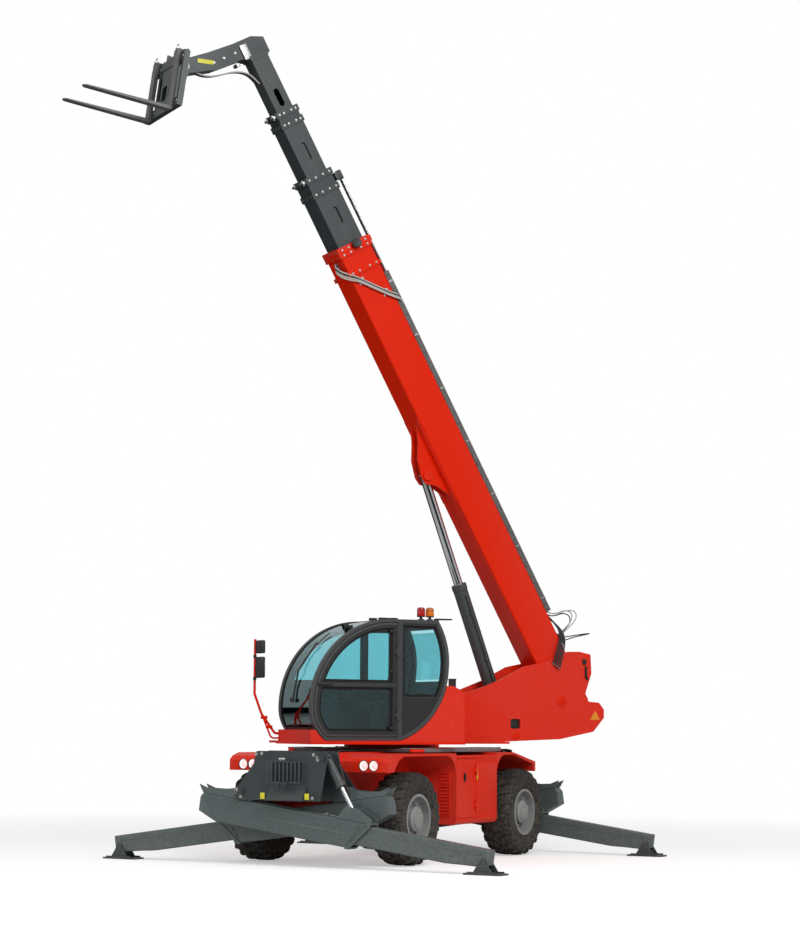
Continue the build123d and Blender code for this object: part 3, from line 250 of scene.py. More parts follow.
indoors = {"Dust": 0.0, "Edge_Wear": 0.0}
paints = {
    "redPaint": dict(
        colour=(0.82, 0.02, 0.001), coat=0.03, specular=0.12,
        Base_Roughness=0.36, Variation=0.08, Dust=0.08,
    ),
    "greyPaint": dict(
        colour=(0.04, 0.052, 0.056), coat=0.1, specular=0.35,
        Base_Roughness=0.42, Variation=0.3, Dust=0.15,
    ),
    "legPaint": dict(
        colour=(0.08, 0.112, 0.114), coat=0.1, specular=0.4,
        Base_Roughness=0.45, Variation=0.35, Dust=0.3,
    ),
    "cabPaint": dict(
        colour=(0.05, 0.055, 0.058), specular=0.4, Base_Roughness=0.42,
        Variation=0.2, Dust=0.0,
    ),
    "blackPaint": dict(
        colour=(0.012, 0.012, 0.013), Base_Roughness=0.45, Variation=0.4,
        Dust=0.15, Edge_Wear=0.5,
    ),
    "castPaint": dict(
        colour=(0.03, 0.031, 0.033), bump=0.25, Base_Roughness=0.6,
        Dust=0.5, Grain_Scale=60.0,
    ),
    "rimPaint": dict(colour=(0.3, 0.31, 0.31), Base_Roughness=0.4, Variation=0.25, Dust=0.5),
    "tyreRubber": dict(
        colour=(0.012, 0.012, 0.013), bump=0.15, specular=0.3,
        Base_Roughness=0.7, Dust=0.35, Edge_Wear=0.0,
    ),
    "blackPlastic": dict(colour=(0.012, 0.012, 0.012), bump=0.08, Base_Roughness=0.5, **indoors),
    "sealRubber": dict(
        colour=(0.008, 0.008, 0.008), bump=0.05, specular=0.3,
        Base_Roughness=0.65, **indoors,
    ),
    "hoseRubber": dict(
        colour=(0.013, 0.013, 0.014), bump=0.3, Base_Roughness=0.55,
        Dust=0.2, Grain_Scale=700.0,
    ),
    "paleSleeve": dict(
        colour=(0.55, 0.54, 0.5), bump=0.3, Base_Roughness=0.6,
        Dust=0.1, Grain_Scale=500.0,
    ),
    "seatCloth": dict(
        colour=(0.02, 0.021, 0.024), bump=0.4, Base_Roughness=0.9,
        Grain_Scale=900.0, **indoors,
    ),
    "chromeSteel": dict(colour=(0.62, 0.64, 0.66), metallic=1.0, Base_Roughness=0.12, **indoors),
    "zincSteel": dict(
        colour=(0.42, 0.42, 0.41), metallic=1.0, Base_Roughness=0.34,
        Dust=0.2, Grain_Scale=400.0,
    ),
    "treadPlate": dict(
        colour=(0.24, 0.26, 0.27), metallic=0.4, bump=0.6,
        Base_Roughness=0.42, Dust=0.2, Grain_Scale=40.0,
    ),
    "mirrorGlass": dict(
        colour=(0.75, 0.78, 0.8), metallic=1.0, bump=0.0,
        Base_Roughness=0.04, **indoors,
    ),
    "stickerYellow": dict(
        colour=(0.78, 0.72, 0.02), Base_Roughness=0.4, Variation=0.15,
        Dust=0.1, Edge_Wear=0.0,
    ),
    "stickerOrange": dict(colour=(0.85, 0.3, 0.02), Base_Roughness=0.4, Variation=0.1, **indoors),
    "knobGreen": dict(colour=(0.42, 0.5, 0.03), Base_Roughness=0.4, Variation=0.1, **indoors),
    "screenDark": dict(colour=(0.01, 0.012, 0.016), bump=0.0, coat=0.6, Base_Roughness=0.1, **indoors),
}
finish = {name: wornMaterial(name, **values) for name, values in paints.items()}


# Smears and dust that roughen a pane a little
def buildPaneFilm():
    group = newGroup(
        "paneFilm",
        [("Film", "NodeSocketFloat", 0.03), ("Film Scale", "NodeSocketFloat", 3.0)],
        [("Roughness", "NodeSocketFloat")],
    )
    given = addNode(group, "NodeGroupInput").outputs
    place = addNode(group, "ShaderNodeTexCoord").outputs["Object"]
    smear = rampOf(group, noiseAt(group, place, given["Film Scale"], 5.0), 0.4, 0.8)
    out = addNode(group, "NodeGroupOutput").inputs
    link(group, mathOf(group, "MULTIPLY", smear, given["Film"]), out["Roughness"])
    return group


paneFilm = buildPaneFilm()


def glassMaterial(name, colour, transmission=1.0, emission=None):
    material, tree, shader = newMaterial(name)
    smear = addNode(tree, "ShaderNodeGroup")
    smear.node_tree = paneFilm
    link(tree, smear.outputs["Roughness"], shader.inputs["Roughness"])
    shader.inputs["Base Color"].default_value = (*colour, 1)
    shader.inputs["Transmission Weight"].default_value = transmission
    shader.inputs["IOR"].default_value = 1.45
    if emission:
        shader.inputs["Emission Color"].default_value = (*colour, 1)
        shader.inputs["Emission Strength"].default_value = emission
    return material


finish["cabGlass"] = glassMaterial("cabGlass", (0.34, 0.7, 0.75))
finish["lampGlass"] = glassMaterial("lampGlass", (0.95, 0.96, 0.97), emission=0.35)
finish["amberLens"] = glassMaterial("amberLens", (0.95, 0.26, 0.02), transmission=0.5)
finish["redLens"] = glassMaterial("redLens", (0.65, 0.01, 0.01), transmission=0.4)

finishOf = {
    "red_paint": "redPaint",
    "dark_grey_paint": "greyPaint",
    "leg_grey": "legPaint",
    "black_paint": "blackPaint",
    "chrome": "chromeSteel",
    "cast_axle": "castPaint",
    "tyre": "tyreRubber",
    "rim_grey": "rimPaint",
    "black_plastic": "blackPlastic",
    "seat_fabric": "seatCloth",
}
slotOf = {part["node"]: part["material_slot"] for part in frame["record"]["subparts"]}
for name, node in nodes.items():
    node.data.materials.clear()
    node.data.materials.append(finish[finishOf[slotOf[name]]])
for name in ("cab_frame", "cab_door"):
    nodes[name].data.materials[0] = finish["cabPaint"]
print("materials ready")


paintSlots = {"redPaint": "red_paint", "greyPaint": "dark_grey_paint", "legPaint": "leg_grey"}


# Mesh and curve helpers
def turnBy(degrees, axis="Y"):
    return Matrix.Rotation(math.radians(degrees), 4, axis)


def onCircle(count, radius, start=0.0):
    angles = [start + 2 * math.pi * step / count for step in range(count)]
    return [(radius * math.cos(angle), radius * math.sin(angle)) for angle in angles]


def roundOff(bm, edges, width):
    bmesh.ops.bevel(bm, geom=edges, offset=width, segments=2, affect="EDGES", profile=0.7)


def addBox(bm, centre, size, bevel=0.004, turn=None):
    matrix = Matrix.Translation(Vector(centre)) @ (turn or Matrix()) @ Matrix.Diagonal((*size, 1))
    made = bmesh.ops.create_cube(bm, size=1, matrix=matrix)
    if bevel:
        edges = list({edge for vert in made["verts"] for edge in vert.link_edges})
        roundOff(bm, edges, min(bevel, min(size) * 0.45))


def addRound(bm, start, end, radius, endRadius=None, segments=20, bevel=0.0):
    start, end = Vector(start), Vector(end)
    axis = end - start
    matrix = Matrix.Translation((start + end) / 2) @ axis.to_track_quat("Z", "Y").to_matrix().to_4x4()
    sizes = {"radius1": radius, "radius2": radius if endRadius is None else endRadius, "depth": axis.length}
    made = bmesh.ops.create_cone(bm, cap_ends=True, segments=segments, matrix=matrix, **sizes)
    if bevel:
        rims = [face for vert in made["verts"] for face in vert.link_faces if len(face.verts) > 4]
        edges = list({edge for face in rims for edge in face.edges})
        roundOff(bm, edges, bevel)


def addBall(bm, centre, radius):
    matrix = Matrix.Translation(Vector(centre))
    bmesh.ops.create_uvsphere(bm, u_segments=16, v_segments=8, radius=radius, matrix=matrix)


def addBolt(bm, place, normal, radius=0.012, height=0.009):
    place, normal = Vector(place), Vector(normal).normalized()
    addRound(bm, place - normal * 0.002, place + normal * 0.003, radius * 1.5, segments=16)
    addRound(bm, place + normal * 0.003, place + normal * height, radius, segments=6, bevel=radius * 0.12)


# A flat outline in x and z carried from one y to the other
def addPrism(bm, outline, low, high):
    nearRing = [bm.verts.new((a, low, b)) for a, b in outline]
    farRing = [bm.verts.new((a, high, b)) for a, b in outline]
    bm.faces.new(nearRing)
    bm.faces.new(list(reversed(farRing)))
    for index in range(len(outline)):
        after = (index + 1) % len(outline)
        bm.faces.new((nearRing[index], farRing[index], farRing[after], nearRing[after]))


# A profile of (radius, height) pairs spun round an axis
def addSpun(bm, profile, centre, axis, segments=32, closed=False):
    axis = Vector(axis).normalized()
    turned = axis.to_track_quat("Z", "Y").to_matrix()
    rings = []
    for radius, height in profile:
        spots = [turned @ Vector((a, b, height)) for a, b in onCircle(segments, radius)]
        rings.append([bm.verts.new(Vector(centre) + spot) for spot in spots])
    pairs = list(zip(rings, rings[1:]))
    if closed:
        pairs.append((rings[-1], rings[0]))
    else:
        bm.faces.new(list(reversed(rings[0])))
        bm.faces.new(rings[-1])
    for lower, upper in pairs:
        for step in range(segments):
            after = (step + 1) % segments
            bm.faces.new((lower[step], lower[after], upper[after], upper[step]))


def piece(name, build, material, body, place=None, sharp=35, slotName=None):
    bm = bmesh.new()
    build(bm)
    bmesh.ops.recalc_face_normals(bm, faces=bm.faces)
    mesh = bpy.data.meshes.new(name)
    bm.to_mesh(mesh)
    bm.free()
    mesh.shade_smooth()
    mesh.set_sharp_from_angle(angle=math.radians(sharp))
    return settle(bpy.data.objects.new(name, mesh), material, body, place, slotName)


def settle(made, material, body, place=None, slotName=None):
    scene.collection.objects.link(made)
    if not made.data.materials:
        made.data.materials.append(finish[material])
    made.matrix_world = place or homes[body]
    bpy.context.view_layer.update()
    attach(made, body)
    slotName = slotName or paintSlots.get(material)
    return made


# One curve object with a round section, of one or more smooth runs
def tubes(name, runs, radius, material, body, place=None, smooth=True):
    curve = bpy.data.curves.new(name, "CURVE")
    curve.dimensions = "3D"
    curve.bevel_depth = radius
    curve.bevel_resolution = 3
    curve.resolution_u = 8
    curve.use_fill_caps = True
    for run in runs:
        spline = curve.splines.new("NURBS" if smooth else "POLY")
        spline.points.add(len(run) - 1)
        for point, target in zip(run, spline.points):
            target.co = (*point, 1)
        if smooth:
            spline.order_u = 3
            spline.use_endpoint_u = True
    return settle(bpy.data.objects.new(name, curve), material, body, place)


def arcThrough(start, middle, end, steps):
    (ax, ay), (bx, by), (cx, cy) = start, middle, end
    d = 2 * (ax * (by - cy) + bx * (cy - ay) + cx * (ay - by))
    ux = ((ax**2 + ay**2) * (by - cy) + (bx**2 + by**2) * (cy - ay) + (cx**2 + cy**2) * (ay - by)) / d
    uy = ((ax**2 + ay**2) * (cx - bx) + (bx**2 + by**2) * (ax - cx) + (cx**2 + cy**2) * (bx - ax)) / d
    radius = math.hypot(ax - ux, ay - uy)
    first, second, third = (math.atan2(y - uy, x - ux) for x, y in (start, middle, end))
    if (second - first) % (2 * math.pi) > (third - first) % (2 * math.pi):
        sweep = -((first - third) % (2 * math.pi))
    else:
        sweep = (third - first) % (2 * math.pi)
    angles = [first + sweep * step / steps for step in range(steps + 1)]
    return [(ux + radius * math.cos(angle), uy + radius * math.sin(angle)) for angle in angles]


# Moves every side of a closed outline inwards by the same distance
def inset(outline, distance):
    count = len(outline)
    area = sum(Vector(outline[i - 1]).cross(Vector(outline[i])) for i in range(count))
    turnSign = 1 if area > 0 else -1
    result = []
    for index in range(count):
        before, here, after = (Vector(outline[(index + step) % count]) for step in (-1, 0, 1))
        first = (here - before).normalized()
        second = (after - here).normalized()
        normal = Vector((-first.y - second.y, first.x + second.x)).normalized() * turnSign
        side = Vector((-first.y, first.x)) * turnSign
        result.append(tuple(here + normal * distance / max(0.5, normal.dot(side))))
    return result


# Keeps the part of a closed outline where x (axis 0) or z (axis 1) is on one side of a limit
def clipped(outline, axis, limit, above):
    kept = []
    for index, here in enumerate(outline):
        after = outline[(index + 1) % len(outline)]
        insideHere = (here[axis] >= limit) == above
        insideAfter = (after[axis] >= limit) == above
        if insideHere:
            kept.append(here)
        if insideHere != insideAfter:
            share = (limit - here[axis]) / (after[axis] - here[axis])
            kept.append(tuple(here[k] + (after[k] - here[k]) * share for k in (0, 1)))
    return kept


print("helpers ready")


# Tyres with a ribbed sidewall and two rows of slanting lugs, made once and placed four times
tyre = {
    "outer": 0.574,
    "carcass": 0.545,
    "half": 0.222,
    "bead": 0.2895,
    "lugs": 22,
    "lugWidth": 0.052,
    "lugSweep": 0.3,
}


def buildTyre(bm):
    outer, carcass, half = tyre["outer"], tyre["carcass"], tyre["half"]
    side = [
        (tyre["bead"], half - 0.044), (tyre["bead"] + 0.02, half - 0.036), (0.335, half - 0.02),
        (0.36, half - 0.006), (0.372, half - 0.009), (0.384, half - 0.003),
        (0.425, half - 0.001), (0.45, half - 0.002), (0.458, half + 0.0005),
        (0.47, half - 0.003), (0.505, half - 0.014), (0.53, half - 0.04),
        (carcass - 0.004, half - 0.075), (carcass, half * 0.45),
    ]
    profile = side + [(carcass, 0.0)] + [(r, -y) for r, y in reversed(side)]
    inner = [(tyre["bead"], -half + 0.06), (tyre["bead"], half - 0.06)]
    addSpun(bm, profile + inner, (0, 0, 0), (0, 1, 0), segments=72, closed=True)
    stations = [
        (0.004, carcass - 0.006, outer), (0.08, carcass - 0.006, outer - 0.001),
        (0.155, carcass - 0.008, outer - 0.006), (0.196, carcass - 0.03, outer - 0.024),
        (half - 0.002, carcass - 0.075, outer - 0.066),
    ]
    for lug in range(2 * tyre["lugs"]):
        hand = 1 if lug % 2 else -1
        base = math.pi * lug / tyre["lugs"]
        rings = []
        for y, low, high in stations:
            middle = base + tyre["lugSweep"] * (y / half) ** 1.3 * 0.5
            spread = tyre["lugWidth"] * (1.0 - 0.25 * y / half) / 2 / outer
            ring = []
            for radius, wide in ((low, 1.25), (high - 0.003, 1.0), (high, 0.9)):
                ring.append((radius, middle - spread * wide))
            for radius, wide in ((high, 0.9), (high - 0.003, 1.0), (low, 1.25)):
                ring.append((radius, middle + spread * wide))
            rings.append([bm.verts.new((r * math.cos(a), hand * y, r * math.sin(a))) for r, a in ring])
        bm.faces.new(rings[0])
        bm.faces.new(list(reversed(rings[-1])))
        for lower, upper in zip(rings, rings[1:]):
            for step in range(6):
                after = (step + 1) % 6
                bm.faces.new((lower[step], lower[after], upper[after], upper[step]))


# Wheel nuts, hub cover with its bolts, and the valve
def buildWheelTrim(bm):
    for x, z in onCircle(10, 0.185):
        addRound(bm, (x, 0.1, z), (x, 0.108, z), 0.022)
        addRound(bm, (x, 0.108, z), (x, 0.132, z), 0.016, segments=6, bevel=0.002)
        addRound(bm, (x, 0.132, z), (x, 0.14, z), 0.009, segments=12)
    hub = [(0.118, 0.1895), (0.116, 0.197), (0.108, 0.2), (0.05, 0.2), (0.046, 0.205), (0.03, 0.205)]
    addSpun(bm, hub, (0, 0, 0), (0, 1, 0))
    for x, z in onCircle(8, 0.085, math.pi / 8):
        addBolt(bm, (x, 0.199, z), (0, 1, 0), 0.007, 0.007)
    addRound(bm, (0.235, 0.1, 0.02), (0.24, 0.155, 0.02), 0.005, segments=10)


tyreMesh = None
for corner in corners:
    spin = joints["spin_" + corner]["pos_m"]
    place = Matrix.Translation(Vector(spin))
    if corner.endswith("right"):
        place = place @ halfTurn
    name = "tread_tyre_" + corner
    wheel = "wheel_" + corner
    if tyreMesh is None:
        made = piece(name, buildTyre, "tyreRubber", wheel, place, slotName="tyre")
        tyreMesh = made.data
    else:
        made = settle(bpy.data.objects.new(name, tyreMesh), "tyreRubber", wheel, place, "tyre")
    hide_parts("tyre_" + corner)
    piece("wheel_trim_" + corner, buildWheelTrim, "rimPaint", wheel, place, slotName="rim_grey")
print("wheels ready")

# Lamps in the fender noses and at the tail
lamps = {"noseX": 2.042, "height": 1.228, "places": (0.805, 0.945), "bulbOut": 0.022}
lamps.update(tailX=-1.962, tailY=0.86, tailZ=1.175)


bowl = [(0.012, 0.002), (0.032, 0.008), (0.05, 0.03), (0.0575, 0.06), (0.059, 0.06), (0.059, 0.001)]
rim = [(0.059, 0.052), (0.059, 0.072), (0.061, 0.076), (0.066, 0.075), (0.068, 0.0685)]
rim += [(0.0625, 0.0685), (0.0625, 0.052)]
lens = [(0.0588, 0.06), (0.0588, 0.066), (0.045, 0.073), (0.022, 0.0775), (0.001, 0.079)]
lens += [(0.001, 0.076), (0.022, 0.0745), (0.045, 0.07)]


def buildLamps(bm, profile, bulb=0):
    for side in (1, -1):
        for y in lamps["places"]:
            addSpun(bm, profile, (lamps["noseX"], side * y, lamps["height"]), (1, 0, 0), closed=True)
            if bulb:
                addBall(bm, (lamps["noseX"] + lamps["bulbOut"], side * y, lamps["height"]), bulb)


piece("headlamp_bowls", lambda bm: buildLamps(bm, bowl, 0.014), "paleSleeve", "chassis")
piece("headlamp_rims", lambda bm: buildLamps(bm, rim), "blackPlastic", "chassis")
piece("headlamp_lenses", lambda bm: buildLamps(bm, lens), "lampGlass", "chassis")


def buildTailHousings(bm):
    for side in (1, -1):
        addBox(bm, (lamps["tailX"] - 0.012, side * lamps["tailY"], lamps["tailZ"]), (0.03, 0.3, 0.1), 0.012)
        addBox(bm, (lamps["tailX"] + 0.05, side * lamps["tailY"], 1.255), (0.14, 0.05, 0.02), 0.004)


def buildTailLenses(bm, low, high):
    for side in (1, -1):
        middle = lamps["tailY"] + (low + high) / 2
        addBox(bm, (lamps["tailX"] - 0.03, side * middle, lamps["tailZ"]), (0.012, high - low, 0.076), 0.006)


piece("tail_lamp_housings", buildTailHousings, "blackPlastic", "chassis")
piece("tail_lamp_red", lambda bm: buildTailLenses(bm, -0.135, 0.03), "redLens", "chassis")
piece("tail_lamp_amber", lambda bm: buildTailLenses(bm, 0.036, 0.135), "amberLens", "chassis")

# Stabiliser frames: grille, blank stickers, bolts, shackles and hoses, the same at the rear
endPlate = {"face": 2.69, "grilleY": 0.012, "grilleZ": 1.145}


def buildGrille(bm):
    face = endPlate["face"]
    for slot in range(9):
        y = endPlate["grilleY"] + (slot - 4) * 0.056
        addBox(bm, (face + 0.001, y, endPlate["grilleZ"]), (0.008, 0.022, 0.238), 0.003)
    for z in (-0.125, 0.125):
        addBox(bm, (face + 0.002, endPlate["grilleY"], endPlate["grilleZ"] + z), (0.01, 0.48, 0.014), 0.003)


def buildFrameBolts(bm):
    face = endPlate["face"]
    upper = ((-0.38, 1.36), (-0.3, 1.37), (0.44, 1.36), (0.5, 1.3))
    for y, z in upper + ((-0.66, 0.93), (-0.6, 0.84), (0.43, 0.84)):
        addBolt(bm, (face, y, z), (1, 0, 0), 0.014)
    for y, z, radius in ((-0.66, 0.9, 0.0198), (0.5, 1.33, 0.0143)):
        for a, b in onCircle(3, radius, 0.4):
            addBolt(bm, (face + 0.018, y + a, z + b), (1, 0, 0), 0.006, 0.006)
    addBox(bm, (face + 0.02, 0.012, 1.305), (0.04, 0.1, 0.03), 0.01)


def buildStickers(bm):
    for y in (-0.285, 0.35):
        addBox(bm, (endPlate["face"] + 0.0012, y, 0.858), (0.002, 0.062, 0.075), 0.0006)


def buildShackle(bm):
    for y in (-0.03, 0.06):
        addBox(bm, (endPlate["face"] + 0.03, y, 1.005), (0.06, 0.018, 0.06), 0.008)
    x = endPlate["face"] + 0.038
    addRound(bm, (x, -0.06, 1.005), (x, 0.09, 1.005), 0.011, bevel=0.002)


for end, turn in (("front", Matrix()), ("rear", halfTurn)):
    place = chassisPlace @ turn
    piece("grille_bars_" + end, buildGrille, "greyPaint", "chassis", place)
    piece("frame_bolts_" + end, buildFrameBolts, "zincSteel", "chassis", place)
    piece("blank_stickers_" + end, buildStickers, "stickerYellow", "chassis", place)
    piece("tow_clevis_" + end, buildShackle, "greyPaint", "chassis", place)
    frameLines = []
    for index in range(4):
        y = 0.3 + 0.03 * index
        run = [(2.1 - 0.01 * index, y, 1.27), (2.06, y + 0.02, 1.36 + 0.012 * index)]
        run += [(1.98, y + 0.03, 1.375 + 0.012 * index), (1.8, y - 0.02, 1.395), (1.55, y - 0.03, 1.397)]
        frameLines.append(run)
    tubes("frame_lines_" + end, frameLines, 0.009, "hoseRubber", "chassis", place)
print("chassis ends ready")

# Trim of each stabiliser, in its own beam's place: x out along the beam, z square to it
def buildBeamTrim(bm):
    for face in (1, -1):
        y = face * 0.0905
        for x, z in ((-0.1, -0.2), (0.45, -0.16), (0.45, -0.36), (1.05, -0.16), (1.05, -0.36)):
            addBolt(bm, (x, y, z), (0, face, 0), 0.011)
        for z in (-0.17, -0.25, -0.33):
            addBolt(bm, (1.7 - (z + 0.17) * -0.6, face * 0.1025, z), (0, face, 0), 0.01)
        addBox(bm, (0.95, y, -0.265), (1.15, 0.006, 0.03), 0.002)
    addBox(bm, (0.55, 0, -0.096), (1.9, 0.05, 0.012), 0.004)


def buildHoseGuide(bm):
    addBox(bm, (1.3, 0.04, -0.094), (0.34, 0.05, 0.014), 0.004)
    addRound(bm, (1.44, 0.0, -0.09), (1.44, 0.0, -0.06), 0.018, segments=6, bevel=0.002)
    addRound(bm, (1.2, 0.0, -0.09), (1.2, 0.0, -0.065), 0.014, segments=6, bevel=0.002)


def buildLegTrim(bm):
    for face in (1, -1):
        y = face * 0.0705
        addBox(bm, (2.75, y, -0.2), (1.15, 0.006, 0.022), 0.002)
        addBolt(bm, (3.36, y, -0.19), (0, face, 0), 0.013)
        addBolt(bm, (3.42, y, -0.24), (0, face, 0), 0.009)
    addBox(bm, (3.4715, 0, -0.22), (0.004, 0.12, 0.15), 0.001)


def buildJackTrim(bm):
    addSpun(bm, [(0.056, 0.355), (0.062, 0.36), (0.062, 0.41), (0.056, 0.415)], (0, 0, 0), (1, 0, 0))
    for x in (0.1, 0.34):
        addRound(bm, (x, 0.05, 0.0), (x, 0.085, 0.0), 0.016, segments=6, bevel=0.002)


jackRuns = [
    [(0.34, 0.08, 0.0), (0.34, 0.095, 0.02), (0.25, 0.085, 0.045), (0.14, 0.06, 0.06)],
    [(0.1, 0.08, 0.0), (0.1, 0.095, -0.01), (0.08, 0.08, 0.03)],
]
jackRuns[0] += [(0.07, 0.02, 0.065), (0.03, 0.0, 0.06)]
jackRuns[1] += [(0.05, 0.04, 0.055), (0.02, 0.02, 0.05)]
for corner in ("front_left", "front_right", "rear_right", "rear_left"):
    pivot = joints["stabiliser_swing_" + corner]["pos_m"]
    along = Vector(joints["stabiliser_slide_" + corner]["axis"])
    across = Vector((1 if corner.startswith("front") else -1, 0, 0))
    if along.cross(across).z < 0:
        across = -across
    place = placeFrom(pivot, along, across)
    beam, leg, barrel = ("stabiliser_" + part + corner for part in ("beam_", "leg_", "barrel_"))
    piece("beam_trim_" + corner, buildBeamTrim, "legPaint", beam, place)
    piece("beam_valve_" + corner, buildHoseGuide, "zincSteel", beam, place)
    piece("leg_trim_" + corner, buildLegTrim, "legPaint", leg, place)
    rodAxis = joints["stabiliser_rod_" + corner]["axis"]
    jackPlace = placeFrom(joints[barrel]["pos_m"], rodAxis, across)
    piece("jack_trim_" + corner, buildJackTrim, "greyPaint", barrel, jackPlace)
    tubes("jack_hoses_" + corner, jackRuns, 0.007, "hoseRubber", barrel, jackPlace)
print("stabiliser trim ready")

# Side locker: louvres on its front face, seams, handle and a blank strip
locker = {"outer": 1.15, "front": 0.35, "rear": -0.8}


def buildLockerLouvres(bm):
    for y0 in (0.62, 0.98):
        for row in range(13):
            z = 0.6 + row * 0.043
            turn = turnBy(35)
            addBox(bm, (locker["front"] + 0.006, y0, z), (0.016, 0.13, 0.005), 0.0012, turn)
        for y in (y0 - 0.072, y0 + 0.072):
            addBox(bm, (locker["front"] + 0.004, y, 0.86), (0.01, 0.012, 0.6), 0.003)
        for z in (0.565, 1.155):
            addBox(bm, (locker["front"] + 0.004, y0, z), (0.01, 0.156, 0.012), 0.003)


def buildLockerHandle(bm):
    addBox(bm, (0.118, locker["outer"] + 0.004, 1.06), (0.05, 0.008, 0.11), 0.006)
    addBox(bm, (0.118, locker["outer"] + 0.014, 1.065), (0.022, 0.016, 0.075), 0.006)


def buildLockerSeams(bm):
    outer = locker["outer"]
    for side in (1, -1):
        addBox(bm, (-0.495, side * (outer + 0.001), 0.93), (0.55, 0.004, 0.62), 0.0015)
        addBox(bm, (-0.225, side * (outer + 0.001), 0.52), (1.1, 0.006, 0.02), 0.002)
        addBox(bm, (-0.225, side * (outer + 0.001), 1.318), (1.1, 0.006, 0.02), 0.002)


piece("locker_louvres", buildLockerLouvres, "redPaint", "chassis")
piece("locker_seams", buildLockerSeams, "redPaint", "chassis")
piece("locker_handle", buildLockerHandle, "blackPlastic", "locker_door")
piece(
    "blank_strip",
    lambda bm: addBox(bm, (-0.235, locker["outer"] + 0.0035, 1.11), (0.028, 0.003, 0.16), 0.001),
    "stickerYellow",
    "chassis",
    chassisPlace,
)


def buildTankTrim(bm):
    y = -locker["outer"]
    addSpun(bm, [(0.055, 0), (0.055, 0.022), (0.048, 0.03), (0.02, 0.032)], (0.05, y, 1.16), (0, -1, 0))
    addBox(bm, (-0.35, y - 0.006, 0.93), (0.02, 0.012, 0.34), 0.004)
    for z in (0.76, 1.1):
        addBolt(bm, (-0.35, y - 0.012, z), (0, -1, 0), 0.01)


piece("tank_cap_and_gauge", buildTankTrim, "blackPlastic", "chassis")


# Deck: tread plates with their bolts beside the slewing ring
def buildTreadPlates(bm):
    for side in (1, -1):
        addBox(bm, (-0.72, side * 0.8, 1.43), (1.1, 0.34, 0.01), 0.003)
        addBox(bm, (0.8, side * 0.84, 1.43), (0.46, 0.26, 0.01), 0.003)
        for x in (-1.24, -0.98, -0.72, -0.46, -0.2):
            addBolt(bm, (x, side * 0.955, 1.435), (0, 0, 1), 0.008, 0.006)


# Grey edge strips along the deck and black ends
def buildDeckEdges(bm):
    for side in (1, -1):
        addBox(bm, (-0.125, side * 1.002, 1.405), (2.1, 0.008, 0.044), 0.002)


def buildDeckEnds(bm):
    for x, length in ((-1.304, 1.72), (1.054, 1.72)):
        addBox(bm, (x, 0, 1.405), (0.01, length, 0.044), 0.002)


piece("tread_plates", buildTreadPlates, "treadPlate", "chassis")
piece("deck_edges", buildDeckEdges, "treadPlate", "chassis")
piece("deck_ends", buildDeckEnds, "blackPaint", "chassis")
print("lockers and deck ready")

# Underside: shaft joints and hoses along the frame
def buildShaftJoints(bm):
    for x in (0.3, 1.16, -0.3, -1.16):
        for turn in (0, 90):
            spin = turnBy(turn, "X")
            addBox(bm, (x, 0, 0.575), (0.085, 0.035, 0.125), 0.008, spin)
        addRound(bm, (x - 0.055, 0, 0.575), (x - 0.04, 0, 0.575), 0.062, segments=24, bevel=0.003)


piece("shaft_joints", buildShaftJoints, "castPaint", "chassis", slotName="cast_axle")
lowLines = []
for side in (1, -1):
    for index in range(3):
        y = side * (0.3 + 0.03 * index)
        sway = 0.02 * side
        run = [(1.4, y, 0.694), (0.9, y + sway, 0.688), (0.2, y, 0.69)]
        lowLines.append(run + [(-0.6, y - sway, 0.688), (-1.4, y, 0.694)])
tubes("frame_hoses", lowLines, 0.01, "hoseRubber", "chassis")

# Turret: pin covers, blank triangle, fittings at the tail, and a black sheet of painted shade in the square hole
# of the near plate
turret = {"nearPlate": 0.165, "farPlate": -0.345, "pivot": (-2.518, 2.06), "liftFoot": (-1.799, 1.586)}


def buildPinCovers(bm):
    for (x, z), radius in ((turret["pivot"], 0.078), (turret["liftFoot"], 0.062)):
        for y, outward in ((turret["nearPlate"], 1), (turret["farPlate"], -1)):
            cover = [(radius, -0.002), (radius, 0.006), (radius - 0.006, 0.01), (0.002, 0.01)]
            addSpun(bm, cover, (x, y, z), (0, outward, 0))


def buildCoverBolts(bm):
    for (x, z), radius in ((turret["pivot"], 0.052), (turret["liftFoot"], 0.04)):
        for y, outward in ((turret["nearPlate"] + 0.01, 1), (turret["farPlate"] - 0.01, -1)):
            for a, b in onCircle(4, radius, math.pi / 4):
                addBolt(bm, (x + a, y, z + b), (0, outward, 0), 0.007, 0.007)


def buildTriangle(bm):
    x, z, size = -3.053, 1.872, 0.075
    corners = [(x - size, z - size * 0.8), (x + size, z - size * 0.8), (x, z + size * 0.9)]
    addPrism(bm, corners, turret["nearPlate"] + 0.0005, turret["nearPlate"] + 0.002)


def buildTailHooks(bm):
    y = turret["nearPlate"] + 0.012
    addBox(bm, (-2.875, y, 2.6), (0.05, 0.024, 0.07), 0.006)
    addBox(bm, (-2.9, y, 2.46), (0.03, 0.024, 0.16), 0.008)
    addRound(bm, (-2.905, y, 2.39), (-2.93, y, 2.36), 0.016, segments=12, bevel=0.002)
    # Painted shade: a black sheet just inside the near plate darkens the square hole, where only shade falls
    addBox(bm, (-1.79, 0.128, 1.75), (0.152, 0.012, 0.132), 0.002)


piece("pin_covers", buildPinCovers, "redPaint", "turret")
piece("cover_bolts", buildCoverBolts, "redPaint", "turret")
piece("blank_triangle", buildTriangle, "stickerOrange", "turret")
piece("tail_fittings_and_hole_shade", buildTailHooks, "blackPlastic", "turret")

# Engine hood: fins, latches and the exhaust outlet
hood = {"rear": -1.7, "front": 0.9, "top": 2.08, "outer": -1.15, "base": 1.51}


